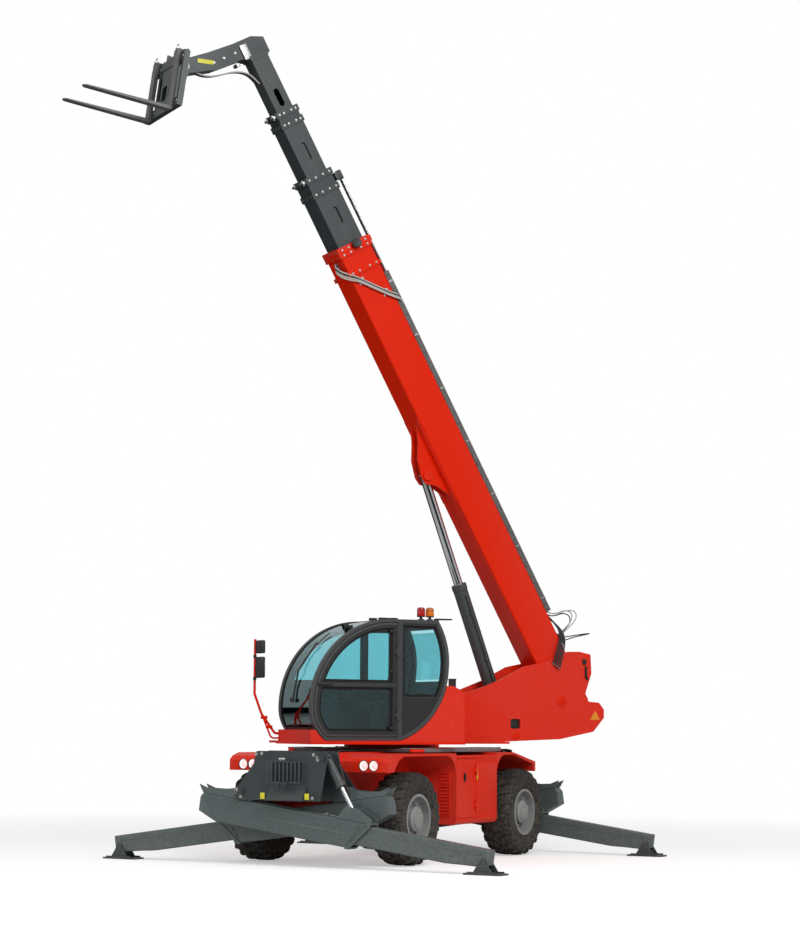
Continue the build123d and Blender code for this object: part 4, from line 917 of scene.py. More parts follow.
def buildHoodFins(bm):
    for middle in (hood["rear"] + 0.52, hood["front"] - 0.52):
        for row in range(9):
            z = hood["base"] + 0.12 + row * 0.042
            tilt = turnBy(-30, "X")
            addBox(bm, (middle, hood["outer"] - 0.005, z + 0.013), (0.47, 0.024, 0.005), 0.0015, tilt)


def buildHoodTrim(bm):
    for x in (-1.45, -0.4, 0.65):
        addBox(bm, (x, hood["outer"] - 0.008, 1.6), (0.04, 0.016, 0.1), 0.005)
        addBox(bm, (x, hood["outer"] - 0.02, 1.62), (0.018, 0.014, 0.05), 0.004)
    addBox(bm, (-0.4, hood["outer"] - 0.003, 1.79), (0.012, 0.006, 0.52), 0.002)
    for x in (-1.2, 0.3):
        addBox(bm, (x, -0.42, hood["top"] + 0.012), (0.16, 0.06, 0.024), 0.008)


def buildOutlet(bm):
    spot = (-1.3, -0.72, 0)
    addSpun(bm, [(0.085, 2.07), (0.085, 2.1), (0.075, 2.11), (0.004, 2.11)], spot, (0, 0, 1))
    pipe = [(0.052, 2.1), (0.052, 2.34), (0.056, 2.345), (0.056, 2.36), (0.046, 2.36), (0.046, 2.11)]
    addSpun(bm, pipe, spot, (0, 0, 1), closed=True)


piece("hood_fins", buildHoodFins, "redPaint", "turret")
piece("hood_latches", buildHoodTrim, "blackPlastic", "turret")
piece("exhaust_outlet", buildOutlet, "castPaint", "turret")

# Cab outline in x and z, as the frame's own arcs
cab = {"outer": 1.2, "waist": 2.225, "bar": 0.048, "frit": 0.04, "border": 0.002}
cabOutline = [(-0.045, 3.06), (0.3, 3.06)]
cabOutline += arcThrough((0.62, 3.06), (1.414, 2.731), (1.743, 1.937), 20)
cabOutline += arcThrough((1.743, 1.937), (1.685, 1.707), (1.524, 1.53), 8)[1:]
cabOutline += arcThrough((0.5, 1.53), (-0.01, 1.89), (-0.204, 2.45), 14)
cabOutline += arcThrough((-0.204, 2.45), (-0.168, 2.8), (-0.045, 3.06), 8)[1:-1]


def paneOutline(distance, xLow=None, xHigh=None, zLow=None, zHigh=None):
    outline = inset(cabOutline, distance)
    for axis, limit, above in ((0, xLow, True), (0, xHigh, False), (1, zLow, True), (1, zHigh, False)):
        if limit is not None:
            outline = clipped(outline, axis, limit, above)
    return tidied(outline)


# Drops points that lie closer together than a few millimetres
def tidied(outline):
    kept = []
    for point in outline:
        if not kept or (Vector(point) - Vector(kept[-1])).length > 0.006:
            kept.append(point)
    if (Vector(kept[0]) - Vector(kept[-1])).length < 0.006:
        kept.pop()
    return kept


def addRing(bm, outer, inner, low, high):
    rings = []
    for outline, depth in ((outer, low), (inner, low), (inner, high), (outer, high)):
        rings.append([bm.verts.new((a, depth, b)) for a, b in outline])
    count = len(outer)
    for first, second in zip(rings, rings[1:] + rings[:1]):
        for index in range(count):
            after = (index + 1) % count
            bm.faces.new((first[index], first[after], second[after], second[index]))


above = cab["waist"] + cab["bar"] / 2
below = cab["waist"] - cab["bar"] / 2
panes = {
    "door_glass_upper": ("cab_door", paneOutline(0.104, xLow=0.594, zLow=above), 1.17, 1.176),
    "door_glass_lower": ("cab_door", paneOutline(0.104, xLow=0.594, zHigh=below), 1.17, 1.176),
    "quarter_glass": ("turret", paneOutline(0.069, xHigh=0.461, zLow=2.074), 1.166, 1.172),
    "far_glass": ("turret", paneOutline(0.104, zLow=above), 0.246, 0.252),
}
for name, (body, outline, low, high) in panes.items():
    piece(name, lambda bm: addPrism(bm, outline, low, high), "cabGlass", body)
    frit = inset(outline, cab["frit"])
    near, far = low - 0.003, high + 0.003
    piece(name + "_seal", lambda bm: addRing(bm, outline, frit, near, far), "sealRubber", body)


# The dark borders that are printed around the door panes and the quarter pane
def crossing(outline, centre, angle):
    way = Vector((math.cos(angle), math.sin(angle)))
    for index, first in enumerate(outline):
        start = Vector(first) - centre
        along = Vector(outline[(index + 1) % len(outline)]) - Vector(first)
        turn = way.cross(along)
        if abs(turn) > 1e-9:
            reach, share = start.cross(along) / turn, start.cross(way) / turn
            if reach > 0 and -1e-6 <= share <= 1 + 1e-6:
                return tuple(centre + way * reach)
    raise ValueError("no crossing")


def addBorder(bm, outer, inner, low, high):
    centre = sum((Vector(point) for point in inner), Vector((0, 0))) / len(inner)
    angles = sorted({round(math.atan2(b - centre.y, a - centre.x), 4) for a, b in outer + inner})
    lines = [[crossing(outline, centre, angle) for angle in angles] for outline in (outer, inner)]
    addRing(bm, *lines, low, high)


borders = {
    "upper_border": ("cab_door", dict(xLow=0.532, zLow=cab["waist"] + 0.012), "door_glass_upper", 0.076),
    "lower_border": ("cab_door", dict(xLow=0.532, zHigh=cab["waist"] - 0.012), "door_glass_lower", 0.076),
    "quarter_border": ("turret", dict(xHigh=0.468), "quarter_glass", 0.046),
}
for name, (body, limits, pane, distance) in borders.items():
    outer, inner = paneOutline(distance, **limits), panes[pane][1]
    near, far = cab["outer"], cab["outer"] + cab["border"]
    piece(name, lambda bm: addBorder(bm, outer, inner, near, far), "blackPlastic", body)


# The windscreen and rear pane follow the cab's outline at a small depth
frontLine = arcThrough((0.62, 3.06), (1.414, 2.731), (1.743, 1.937), 24)
frontLine += arcThrough((1.743, 1.937), (1.685, 1.707), (1.524, 1.53), 8)[1:]
frontLine = [point for point in frontLine if point[1] > 1.675]


def stripBetween(line, depth, thickness):
    centre = Vector((0.55, 2.2))
    outer, inner = [], []
    for point in line:
        inward = (centre - Vector(point)).normalized()
        outer.append(tuple(Vector(point) + inward * depth))
        inner.append(tuple(Vector(point) + inward * (depth + thickness)))
    return outer + inner[::-1]


rearLine = arcThrough((-0.01, 1.89), (-0.204, 2.45), (-0.045, 3.06), 24)
rearLine = [point for point in rearLine if 2.27 < point[1] < 2.965]
screens = {
    "windscreen": (stripBetween(frontLine, 0.016, 0.006), 0.28, 1.145),
    "rear_glass": (stripBetween(rearLine, 0.02, 0.006), 0.31, 1.115),
}
for name, (outline, low, high) in screens.items():
    piece(name, lambda bm: addPrism(bm, outline, low, high), "cabGlass", "turret", sharp=50)
edge = stripBetween(frontLine, 0.01, 0.018)
for name, low, high in (("windscreen_seal_left", 1.112, 1.152), ("windscreen_seal_right", 0.273, 0.313)):
    piece(name, lambda bm: addPrism(bm, edge, low, high), "sealRubber", "turret", sharp=50)


# Inside the cab: liners, posts, mat, dash, pedals and lever knobs
seat = {"middle": 0.7125, "armOut": 0.285, "lean": -8, "cap": 0.022}
seat.update(voxel=0.006, pressure=4.0, steps=20)


def buildLiner(bm):
    ring = inset(cabOutline, 0.056)
    inner = inset(cabOutline, 0.1)
    addRing(bm, ring, inner, 0.277, 0.285)
    addPrism(bm, tidied(clipped(ring, 1, cab["waist"] + 0.02, False)), 0.286, 0.292)
    addPrism(bm, tidied(clipped(clipped(ring, 0, 0.46, False), 1, 2.06, False)), 1.136, 1.144)
    for x, zHigh in ((0.545, 2.93), (0.13, 3.0)):
        addBox(bm, (x, 0.262, (cab["waist"] + zHigh) / 2), (0.11, 0.026, zHigh - cab["waist"]), 0.006)
    addBox(bm, (0.75, 0.71, 1.5855), (1.3, 0.84, 0.01), 0.003)
    addBox(bm, (0.52, 1.135, 2.3), (0.07, 0.028, 1.36), 0.008)


def buildDash(bm):
    addBox(bm, (1.4, 0.71, 2.035), (0.22, 0.46, 0.05), 0.016)
    addBox(bm, (1.43, 0.71, 2.1), (0.05, 0.24, 0.13), 0.014, turnBy(-20))
    addBox(bm, (1.05, 0.33, 2.1), (0.6, 0.07, 0.16), 0.02)
    for y in (0.6, 0.84):
        addBox(bm, (1.28, y, 1.66), (0.07, 0.08, 0.018), 0.004, turnBy(-35))
        addRound(bm, (1.285, y, 1.66), (1.34, y, 1.6), 0.01, segments=10)
    addBox(bm, (0.1, 0.71, 1.95), (0.26, 0.62, 0.1), 0.02)
    for side in (1, -1):
        y = seat["middle"] + side * seat["armOut"]
        addRound(bm, (0.63, y, 2.22), (0.63, y, 2.275), 0.02, 0.014, segments=14, bevel=0.003)


def buildScreen(bm):
    addBox(bm, (1.401, 0.71, 2.105), (0.006, 0.2, 0.1), 0.002, turnBy(-20))


def buildKnobs(bm):
    knob = [(0.006, -0.035), (0.014, -0.02), (0.02, 0.0), (0.018, 0.016), (0.008, 0.022)]
    row = [(x, 0.36, 2.21) for x in (0.97, 1.04, 1.11)]
    for spot in row + [(1.22, 0.6, 2.245), (1.25, 0.8, 2.235)]:
        addSpun(bm, knob, spot, (0, 0, 1), segments=16)


piece("cab_liner", buildLiner, "blackPlastic", "turret")
piece("dash", buildDash, "blackPlastic", "turret")
piece("dash_screen", buildScreen, "screenDark", "turret")
piece("lever_knobs", buildKnobs, "knobGreen", "turret")


# Outside fittings of the cab
def buildCabFittings(bm):
    for z in (2.907, 2.402, 2.201, 1.686):
        addBox(bm, (0.617, cab["outer"] + 0.006, z), (0.07, 0.012, 0.032), 0.003)
    addBox(bm, (1.55, cab["outer"] + 0.006, 2.225), (0.2, 0.012, 0.045), 0.004)
    addBox(bm, (1.555, cab["outer"] + 0.024, 2.225), (0.13, 0.02, 0.026), 0.008)
    for x in (1.5, 1.61):
        addBox(bm, (x, cab["outer"] + 0.014, 2.225), (0.022, 0.02, 0.022), 0.004)


def buildRoofFittings(bm):
    addBox(bm, (-0.25, 0.95, 3.085), (0.22, 0.1, 0.018), 0.004)
    addBox(bm, (-0.15, 0.95, 3.068), (0.04, 0.08, 0.024), 0.004)
    for x, y in ((0.073, 0.95), (-0.055, 0.95)):
        addRound(bm, (x, y, 3.058), (x, y, 3.085), 0.045, 0.036, bevel=0.004)
        addRound(bm, (x, y, 3.08), (x, y, 3.115), 0.018, segments=14)
        addRound(bm, (x, y, 3.108), (x, y, 3.122), 0.054, bevel=0.004)
    for x, size in ((0.74, 0.09), (0.6, 0.1), (0.46, 0.12)):
        addBox(bm, (x, 0.9, 3.072 - max(0, x - 0.6) * 0.06), (size, 0.07, 0.035), 0.008)
    addBox(bm, (1.1, 0.95, 2.955), (0.08, 0.05, 0.05), 0.006)


def buildWiper(bm):
    path = [(1.728, 2.03), (1.655, 2.384), (1.405, 2.745)]
    for y in (0.66, 0.69):
        for (x0, z0), (x1, z1) in zip(path, path[1:]):
            addRound(bm, (x0 + 0.02, y, z0 + 0.012), (x1 + 0.02, y, z1 + 0.012), 0.006, segments=10)
    addBox(bm, (1.757, 0.675, 2.03), (0.03, 0.07, 0.05), 0.008)
    blade = [(1.6, 2.51), (1.44, 2.71), (1.24, 2.88)]
    for (x0, z0), (x1, z1) in zip(blade, blade[1:]):
        addRound(bm, (x0 + 0.006, 0.675, z0 + 0.006), (x1 + 0.006, 0.675, z1 + 0.006), 0.008, segments=8)


def buildBeacon(bm, x):
    profile = [(0.052, 3.122), (0.054, 3.135), (0.053, 3.2), (0.047, 3.222), (0.03, 3.232), (0.002, 3.235)]
    addSpun(bm, profile, (x, 0.95, 0), (0, 0, 1))


def buildMirrorHousings(bm):
    for z, height in ((2.44, 0.268), (2.7, 0.168)):
        addBox(bm, (2.062, 0.355, z), (0.056, 0.198, height), 0.02)
        addBox(bm, (2.078, 0.262, z), (0.03, 0.05, 0.05), 0.006)
    for x, z in ((2.088, 2.3), (2.088, 2.58)):
        addRound(bm, (x, 0.25, z - 0.02), (x, 0.25, z + 0.02), 0.022, segments=14, bevel=0.002)


def buildMirrorPanes(bm):
    for z, height in ((2.44, 0.268), (2.7, 0.168)):
        addBox(bm, (2.033, 0.355, z), (0.004, 0.174, height - 0.026), 0.001)


def buildWorkLamp(bm):
    shade = [(0.002, -0.05), (0.03, -0.045), (0.046, -0.01), (0.05, 0.02)]
    shade += [(0.046, 0.022), (0.044, 0.0), (0.02, -0.02)]
    addSpun(bm, shade, (1.16, 0.95, 2.955), (0.94, 0, -0.34), closed=True)


piece("cab_fittings", buildCabFittings, "blackPlastic", "cab_door")
piece("roof_fittings", buildRoofFittings, "blackPlastic", "turret")
piece("wiper", buildWiper, "blackPlastic", "turret")
piece("beacon_red", lambda bm: buildBeacon(bm, 0.073), "redLens", "turret")
piece("beacon_orange", lambda bm: buildBeacon(bm, -0.055), "amberLens", "turret")
piece("mirror_housings", buildMirrorHousings, "blackPlastic", "turret")
piece("mirror_panes", buildMirrorPanes, "mirrorGlass", "turret")
piece("work_lamp", buildWorkLamp, "blackPlastic", "turret")
print("cab ready")

# Driver's seat: padded cushions on a shell, in place of the plain solid


# Lets a closed form swell like foam under cloth, with the swell held to a limit
def puffed(form, cap):
    scene.collection.objects.link(form)
    bpy.context.view_layer.update()
    remesh = form.modifiers.new("remesh", "REMESH")
    remesh.mode = "VOXEL"
    remesh.voxel_size = seat["voxel"]
    settled = bpy.data.meshes.new_from_object(form.evaluated_get(bpy.context.evaluated_depsgraph_get()))
    form.modifiers.clear()
    form.data = settled
    starts = [vert.co.copy() for vert in settled.vertices]
    cloth = form.modifiers.new("cloth", "CLOTH")
    cloth.settings.use_pressure = True
    cloth.settings.uniform_pressure_force = seat["pressure"]
    cloth.settings.effector_weights.gravity = 0
    cloth.settings.quality = 5
    for step in range(1, seat["steps"] + 1):
        scene.frame_set(step)
    swollen = bpy.data.meshes.new_from_object(form.evaluated_get(bpy.context.evaluated_depsgraph_get()))
    form.modifiers.clear()
    for vert, start in zip(swollen.vertices, starts):
        shift = vert.co - start
        if shift.length > cap:
            vert.co = start + shift.normalized() * cap
    form.data = swollen
    scene.frame_set(1)
    scene.collection.objects.unlink(form)


# A cushion whose sides pull in between its corners, crowned on the side that faces the driver
def cushionForm(name, length, width, thick, crown, cap):
    bm = bmesh.new()
    bmesh.ops.create_cube(bm, size=1)
    bmesh.ops.subdivide_edges(bm, edges=bm.edges[:], cuts=9, use_grid_fill=True)
    for vert in bm.verts:
        u, v, w = (2 * c for c in vert.co)
        pull = 1 - 0.05 * (1 - v * v) if abs(u) > 0.99 else 1
        pinch = 1 - 0.05 * (1 - u * u) if abs(v) > 0.99 else 1
        edge = max(abs(u), abs(v)) ** 4
        x = u * length / 2 * pull
        y = v * width / 2 * pinch
        z = w * thick / 2 * (1 - 0.35 * edge)
        if w > 0:
            z += crown * (1 - u * u) * (1 - v * v) * w
            z += 0.014 * w * min(1.0, (abs(v) / 0.72) ** 8) * (1 - edge)
        vert.co = Vector((x, y, z))
    mesh = bpy.data.meshes.new(name)
    bm.to_mesh(mesh)
    bm.free()
    form = bpy.data.objects.new(name, mesh)
    puffed(form, cap)
    form.data.shade_smooth()
    smoothed = form.modifiers.new("smooth", "SUBSURF")
    smoothed.levels = 1
    smoothed.render_levels = 1
    return form


def seamRuns(length, width, thick, lines):
    runs = []
    for v in lines:
        profile = ((-0.44, 0.42), (-0.2, 0.53), (0.2, 0.53), (0.44, 0.42))
        runs.append([(length * x, v * width / 2, thick * z) for x, z in profile])
    return runs


seatParts = {
    "seat_cushion": dict(size=(0.44, 0.44, 0.1), crown=0.012, at=(0.5, seat["middle"], 1.945), tilt=0),
    "seat_back": dict(size=(0.585, 0.43, 0.09), crown=0.012, at=(0.287, seat["middle"], 2.28), tilt=82),
    "headrest": dict(size=(0.15, 0.245, 0.075), crown=0.008, at=(0.232, seat["middle"], 2.668), tilt=82),
}
seatPieces = []
for name, part in seatParts.items():
    length, width, thick = part["size"]
    place = turretPlace @ Matrix.Translation(Vector(part["at"])) @ turnBy(part["tilt"])
    form = cushionForm(name, length, width, thick, part["crown"], seat["cap"] * thick / 0.1)
    settle(form, "seatCloth", "turret", place, "seat_fabric")
    seatPieces.append(form)
    seams = seamRuns(length, width, thick + 2 * part["crown"], (-0.62, 0.62))
    tubes(name + "_piping", seams, 0.003, "sealRubber", "turret", place)


def buildSeatShell(bm):
    middle = seat["middle"]
    addBox(bm, (0.5, middle, 1.872), (0.42, 0.43, 0.045), 0.014)
    addBox(bm, (0.64, middle, 1.73), (0.2, 0.3, 0.29), 0.02)
    for row in range(4):
        addBox(bm, (0.64, middle, 1.63 + row * 0.055), (0.22, 0.32, 0.016), 0.006)
    back = turnBy(seat["lean"])
    addBox(bm, (0.248, middle, 2.27), (0.035, 0.41, 0.56), 0.015, back)
    addBox(bm, (0.33, middle, 1.92), (0.12, 0.38, 0.055), 0.012)
    for y in (-0.05, 0.05):
        addRound(bm, (0.25, middle + y, 2.54), (0.236, middle + y, 2.64), 0.007, segments=10)
    for side in (1, -1):
        addBox(bm, (0.38, middle + side * 0.252, 2.05), (0.05, 0.04, 0.17), 0.008)
        y = middle + side * seat["armOut"]
        addRound(bm, (0.63, y, 2.13), (0.63, y, 2.25), 0.012, segments=14)
        addRound(bm, (0.63, y, 2.14), (0.63, y, 2.17), 0.022, 0.014, segments=14)


def buildArmRests(bm):
    for side in (1, -1):
        addBox(bm, (0.5, seat["middle"] + side * seat["armOut"], 2.12), (0.325, 0.066, 0.056), 0.022)


shell = piece("seat_shell", buildSeatShell, "blackPlastic", "turret", slotName="seat_fabric")
rests = piece("arm_rests", buildArmRests, "seatCloth", "turret", slotName="seat_fabric")
for made in [shell, rests] + seatPieces:
    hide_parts("driver_seat")
print("seat ready")

# Boom trim in the boom's own place: x along it, z square to it and up, y to the cab's side
boom = {"half": 0.215, "top": 0.415, "low": -0.08, "trayLow": 0.4295}
sectionSizes = [(7.87, 0.375, -0.035, 0.175, 0.3), (8.81, 0.345, 0.005, 0.145, 0.24)]


def buildBoomBolts(bm):
    rise = 0.022
    for s in (6.47, 6.74, 6.81):
        for t in (-0.03, 0.08, 0.25, 0.36):
            for side in (1, -1):
                addBolt(bm, (s, side * (boom["half"] + rise), t), (0, side, 0), 0.01)
        for y in (-0.16, 0.0, 0.16):
            addBolt(bm, (s, y, boom["low"] - rise), (0, 0, -1), 0.01)
    for s in (6.75, 6.82):
        for y in (-0.12, -0.05):
            addBolt(bm, (s, y, boom["top"] + rise), (0, 0, 1), 0.01)


def buildBoomLugs(bm):
    addBox(bm, (6.48, 0.0, 0.455), (0.1, 0.05, 0.04), 0.008)
    for s in (6.46, 6.5):
        addBox(bm, (s, 0.225, -0.055), (0.014, 0.03, 0.1), 0.004)
    addBox(bm, (6.8, 0.16, 0.455), (0.08, 0.09, 0.036), 0.008)
    for y in (0.195, -0.195):
        addBox(bm, (3.6, y * 0.55, -0.262), (0.02, 0.01, 0.02), 0.002)


def buildFloodLamp(bm):
    centre = (6.8, boom["half"] + 0.03, 0.205)
    addBox(bm, (6.8, boom["half"] + 0.026, 0.205), (0.06, 0.012, 0.1), 0.003)
    shade = [(0.004, 0.0), (0.04, 0.006), (0.062, 0.03), (0.066, 0.06), (0.06, 0.072), (0.004, 0.078)]
    addSpun(bm, shade, centre, (0.3, 0.9, -0.3))


def buildSectionBolts(bm, end, top, low, half, collar):
    rise = 0.016
    for s in (end - collar + 0.045, end - 0.045):
        for t in (low + 0.04, (top + low) / 2 - 0.06, (top + low) / 2 + 0.06, top - 0.04):
            for side in (1, -1):
                addBolt(bm, (s, side * (half + rise), t), (0, side, 0), 0.01)
        for y in (-half + 0.05, 0.0, half - 0.05):
            addBolt(bm, (s, y, low - rise), (0, 0, -1), 0.01)
    for side in (1, -1):
        s, t = end - 0.045, low - rise
        rollerEnds = (s, side * half, t - 0.022), (s, side * (half - 0.08), t - 0.022)
        addRound(bm, *rollerEnds, 0.02, segments=14, bevel=0.003)
        addBox(bm, (s, side * (half - 0.05), t - 0.014), (0.07, 0.014, 0.03), 0.003)


piece("boom_bolts", buildBoomBolts, "zincSteel", "boom")
piece("boom_lugs", buildBoomLugs, "redPaint", "boom")
piece("flood_lamp", buildFloodLamp, "blackPlastic", "boom")
for number, sizes in enumerate(sectionSizes, 1):
    name = "section_bolts_" + str(number)
    piece(name, lambda bm: buildSectionBolts(bm, *sizes), "zincSteel", "section_" + str(number))


# Steel extension lines that slide in the tray, carried by the first section
def buildExtensionBracket(bm):
    addBox(bm, (7.72, 0.145, 0.43), (0.11, 0.1, 0.078), 0.008)
    addBox(bm, (7.72, 0.145, 0.475), (0.13, 0.12, 0.03), 0.008)


extension = [[(4.0, y, 0.468), (7.74, y, 0.468)] for y in (0.128, 0.165)]
tubes("extension_lines", extension, 0.013, "chromeSteel", "section_1", smooth=False)
piece("extension_bracket", buildExtensionBracket, "greyPaint", "section_1")

# Hoses laid in the tray, which are held all along it
trayRuns = []
for index in range(5):
    y = 0.062 + 0.01 * index
    t = boom["trayLow"] + 0.012 + 0.015 * (index % 3)
    run = [(1.16, y, t), (2.2, y + 0.004, t), (3.4, y - 0.004, t + 0.004)]
    trayRuns.append(run + [(4.8, y, t), (6.28, y, t)])
tubes("tray_hoses", trayRuns, 0.0085, "hoseRubber", "boom")


def buildTrayStraps(bm):
    for s in (1.35, 2.15, 2.95, 3.75, 4.55, 5.35, 6.15):
        addBox(bm, (s, 0.048, 0.465), (0.03, 0.006, 0.07), 0.001)
        addBox(bm, (s, 0.193, 0.465), (0.03, 0.006, 0.07), 0.001)
        addBolt(bm, (s, 0.1965, 0.455), (0, 1, 0), 0.006, 0.006)


piece("tray_straps", buildTrayStraps, "zincSteel", "boom")


# A free hose on one open spline, whose line is also worked out and left unused
def lineOf(points, place):
    curve = bpy.data.curves.new("line", "CURVE")
    curve.dimensions = "3D"
    curve.resolution_u = 24
    spline = curve.splines.new("NURBS")
    spline.points.add(len(points) - 1)
    for point, target in zip(points, spline.points):
        target.co = (*point, 1)
    spline.order_u = 3
    spline.use_endpoint_u = True
    carrier = bpy.data.objects.new("line", curve)
    mesh = bpy.data.meshes.new_from_object(carrier)
    line = [place @ vert.co for vert in mesh.vertices]
    bpy.data.objects.remove(carrier)
    bpy.data.meshes.remove(mesh)
    return line


def freeHose(name, points, radius, material, body):
    made = tubes(name, [points], radius, material, body)
    lineOf(points, homes[body])


# A hose between the turret and the boom, made in the boom's place as a plain mesh that belongs to no body
def bendingHose(name, points, radius, material, firstBody):
    place = homes[firstBody]
    carrier = tubes(name + "_line", [points], radius, material, firstBody, place)
    mesh = bpy.data.meshes.new_from_object(carrier)
    mesh.transform(place)
    bpy.data.objects.remove(carrier)
    made = bpy.data.objects.new(name, mesh)
    scene.collection.objects.link(made)
    mesh.materials.clear()
    mesh.materials.append(finish[material])
    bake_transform(made)
    line = lineOf(points, place)


# Pale hoses that loop out of the tray's lower end and back to the boom
loopRoute = [
    (1.17, 0.0, 0.45), (1.09, 0.0, 0.5), (1.04, 0.0, 0.61), (1.02, 0.0, 0.74),
    (0.94, 0.0, 0.825), (0.85, 0.01, 0.78), (0.81, 0.02, 0.64), (0.79, 0.03, 0.52),
    (0.78, 0.03, 0.428),
]
for index, (shift, grow) in enumerate(((0.0, 1.0), (0.035, 1.12), (-0.035, 0.92))):
    route = [(s - 0.015 * index, 0.1 + shift + y, 0.43 + (t - 0.43) * grow) for s, y, t in loopRoute]
    material = "paleSleeve" if index < 2 else "hoseRubber"
    freeHose("root_loop_" + str(index + 1), route, 0.008, material, "boom")
darkLoop = [
    (0.74, -0.06, 0.428), (0.7, -0.06, 0.52), (0.65, -0.06, 0.66), (0.6, -0.03, 0.8),
    (0.56, 0.03, 0.91), (0.55, 0.1, 0.935), (0.57, 0.17, 0.88), (0.61, 0.19, 0.76),
    (0.66, 0.18, 0.6), (0.69, 0.17, 0.428),
]
freeHose("root_loop_dark", darkLoop, 0.008, "hoseRubber", "boom")

# Black hoses from the tray round the boom's near side into the turret
downRoute = [
    (1.17, 0.075, 0.445), (1.07, 0.085, 0.47), (0.95, 0.13, 0.49), (0.84, 0.205, 0.47),
    (0.75, 0.265, 0.39), (0.67, 0.29, 0.29), (0.59, 0.29, 0.2), (0.52, 0.28, 0.125),
]
for index in range(4):
    spread = 0.03 * index
    route = []
    for k, (s, y, t) in enumerate(downRoute):
        along = k / 7
        sideways = 0.012 * index * (k > 1)
        route.append((s - spread * (0.5 + 0.5 * along), y + sideways, t + spread * 0.45 * along))
    name = "turret_hose_" + str(index + 1)
    bendingHose(name, route, 0.0115, "hoseRubber", "boom")


def buildHoseEnds(bm):
    for index in range(4):
        spread = 0.03 * index
        spot = Vector((0.52 - spread, 0.268 + 0.006 * index, 0.125 + spread * 0.45))
        addBox(bm, spot, (0.026, 0.034 + 0.012 * index, 0.026), 0.004)


def buildLoopEnds(bm):
    for s, y in ((0.78, 0.13), (0.765, 0.165), (0.75, 0.095), (0.74, -0.06), (0.69, 0.17)):
        addRound(bm, (s, y, 0.413), (s, y, 0.445), 0.018, segments=6, bevel=0.002)
    addBox(bm, (0.755, 0.06, 0.419), (0.14, 0.3, 0.008), 0.002)


piece("hose_ends", buildHoseEnds, "zincSteel", "turret", boomPlace)
piece("loop_ends", buildLoopEnds, "zincSteel", "boom")

# Pale hoses across the near side, below the front collar
bandRoute = [
    (5.78, 0.11, 0.472), (5.88, 0.16, 0.488), (5.95, 0.225, 0.46), (6.00, 0.247, 0.385),
    (6.12, 0.243, 0.265), (6.28, 0.243, 0.115), (6.41, 0.245, -0.005), (6.48, 0.235, -0.085),
    (6.55, 0.19, -0.15), (6.62, 0.115, -0.16), (6.66, 0.05, -0.135), (6.67, 0.02, -0.092),
]
for index in range(4):
    route = []
    for k, (s, y, t) in enumerate(bandRoute):
        drop = 0.01 * index if 6 < k < len(bandRoute) - 1 else 0
        route.append((s - 0.024 * index, y + 0.003 * index, t - drop))
    material = "hoseRubber" if index == 1 else "paleSleeve"
    freeHose("band_hose_" + str(index + 1), route, 0.0095, material, "boom")


def buildBandClips(bm):
    for s, t in ((6.05, 0.3), (6.33, 0.045)):
        turn = turnBy(43)
        addBox(bm, (s, 0.218, t), (0.03, 0.008, 0.12), 0.002, turn)
    addBox(bm, (6.635, 0.023, -0.086), (0.11, 0.05, 0.014), 0.003)


piece("band_clips", buildBandClips, "zincSteel", "boom")

# Hoses under the head, from the last section to the tilt cylinder's place
headRoute = [
    (9.26, 0.05, 0.035), (9.38, 0.05, 0.000), (9.48, 0.05, -0.09), (9.545, 0.05, -0.24),
    (9.57, 0.05, -0.42), (9.61, 0.05, -0.58), (9.68, 0.05, -0.69), (9.74, 0.05, -0.74),
]
for index, y in enumerate((-0.05, 0.0, 0.045)):
    route = [(s - 0.006 * index, y, t) for s, _, t in headRoute]
    material = "paleSleeve" if index == 2 else "hoseRubber"
    freeHose("head_hose_" + str(index + 1), route, 0.01, material, "section_3")


def buildHeadTrim(bm):
    for t in (-0.12, -0.3, -0.46):
        addBolt(bm, (9.74, 0.1, t), (0, 1, 0), 0.011)
        addBolt(bm, (9.74, -0.1, t), (0, -1, 0), 0.011)
    for y in (0.118, -0.118):
        addBox(bm, (9.7, y, 0.02), (0.2, 0.012, 0.1), 0.005)
        addBolt(bm, (9.66, y + math.copysign(0.006, y), 0.02), (0, y, 0), 0.009)
    for side in (1, -1):
        ends = (9.851, side * 0.146, -0.882), (9.851, side * 0.158, -0.882)
        addRound(bm, *ends, 0.052, segments=24, bevel=0.003)
    addBox(bm, (9.585, 0.0, -0.13), (0.05, 0.12, 0.05), 0.008)


piece("head_trim", buildHeadTrim, "zincSteel", "section_3")
label = (2.8, 0.0115, 10.305), (0.22, 0.003, 0.055), 0.001
piece("blank_label", lambda bm: addBox(bm, *label), "stickerYellow", "section_3", turretPlace)


# Carriage: bolts, fork latches, coupler block and its fittings
def buildCarriageTrim(bm):
    for y in (-0.545, -0.23, 0.23, 0.545):
        for z in (-0.02, -0.62):
            addBolt(bm, (0.186, y, z), (1, 0, 0), 0.01)
    for y in (-0.375, 0.375):
        addBox(bm, (0.215, y, 0.112), (0.05, 0.05, 0.024), 0.006)
        addRound(bm, (0.215, y, 0.12), (0.215, y, 0.165), 0.01, segments=12, bevel=0.002)
        addRound(bm, (0.215, y - 0.03, 0.165), (0.215, y + 0.03, 0.165), 0.007, segments=10)
    for y in (-0.06, -0.02, 0.02, 0.06):
        addRound(bm, (0.13, y, -0.16), (0.13, y, -0.205), 0.014, segments=6, bevel=0.002)
    addBox(bm, (0.125, 0.0, -0.135), (0.05, 0.2, 0.05), 0.006)
    for side in (1, -1):
        addRound(bm, (0, side * 0.139, 0), (0, side * 0.15, 0), 0.06, segments=24, bevel=0.003)
        for z in (-0.15, -0.3, -0.45):
            addBolt(bm, (0.13, side * 0.139, z), (0, side, 0), 0.011)


piece("carriage_trim", buildCarriageTrim, "zincSteel", "carriage")


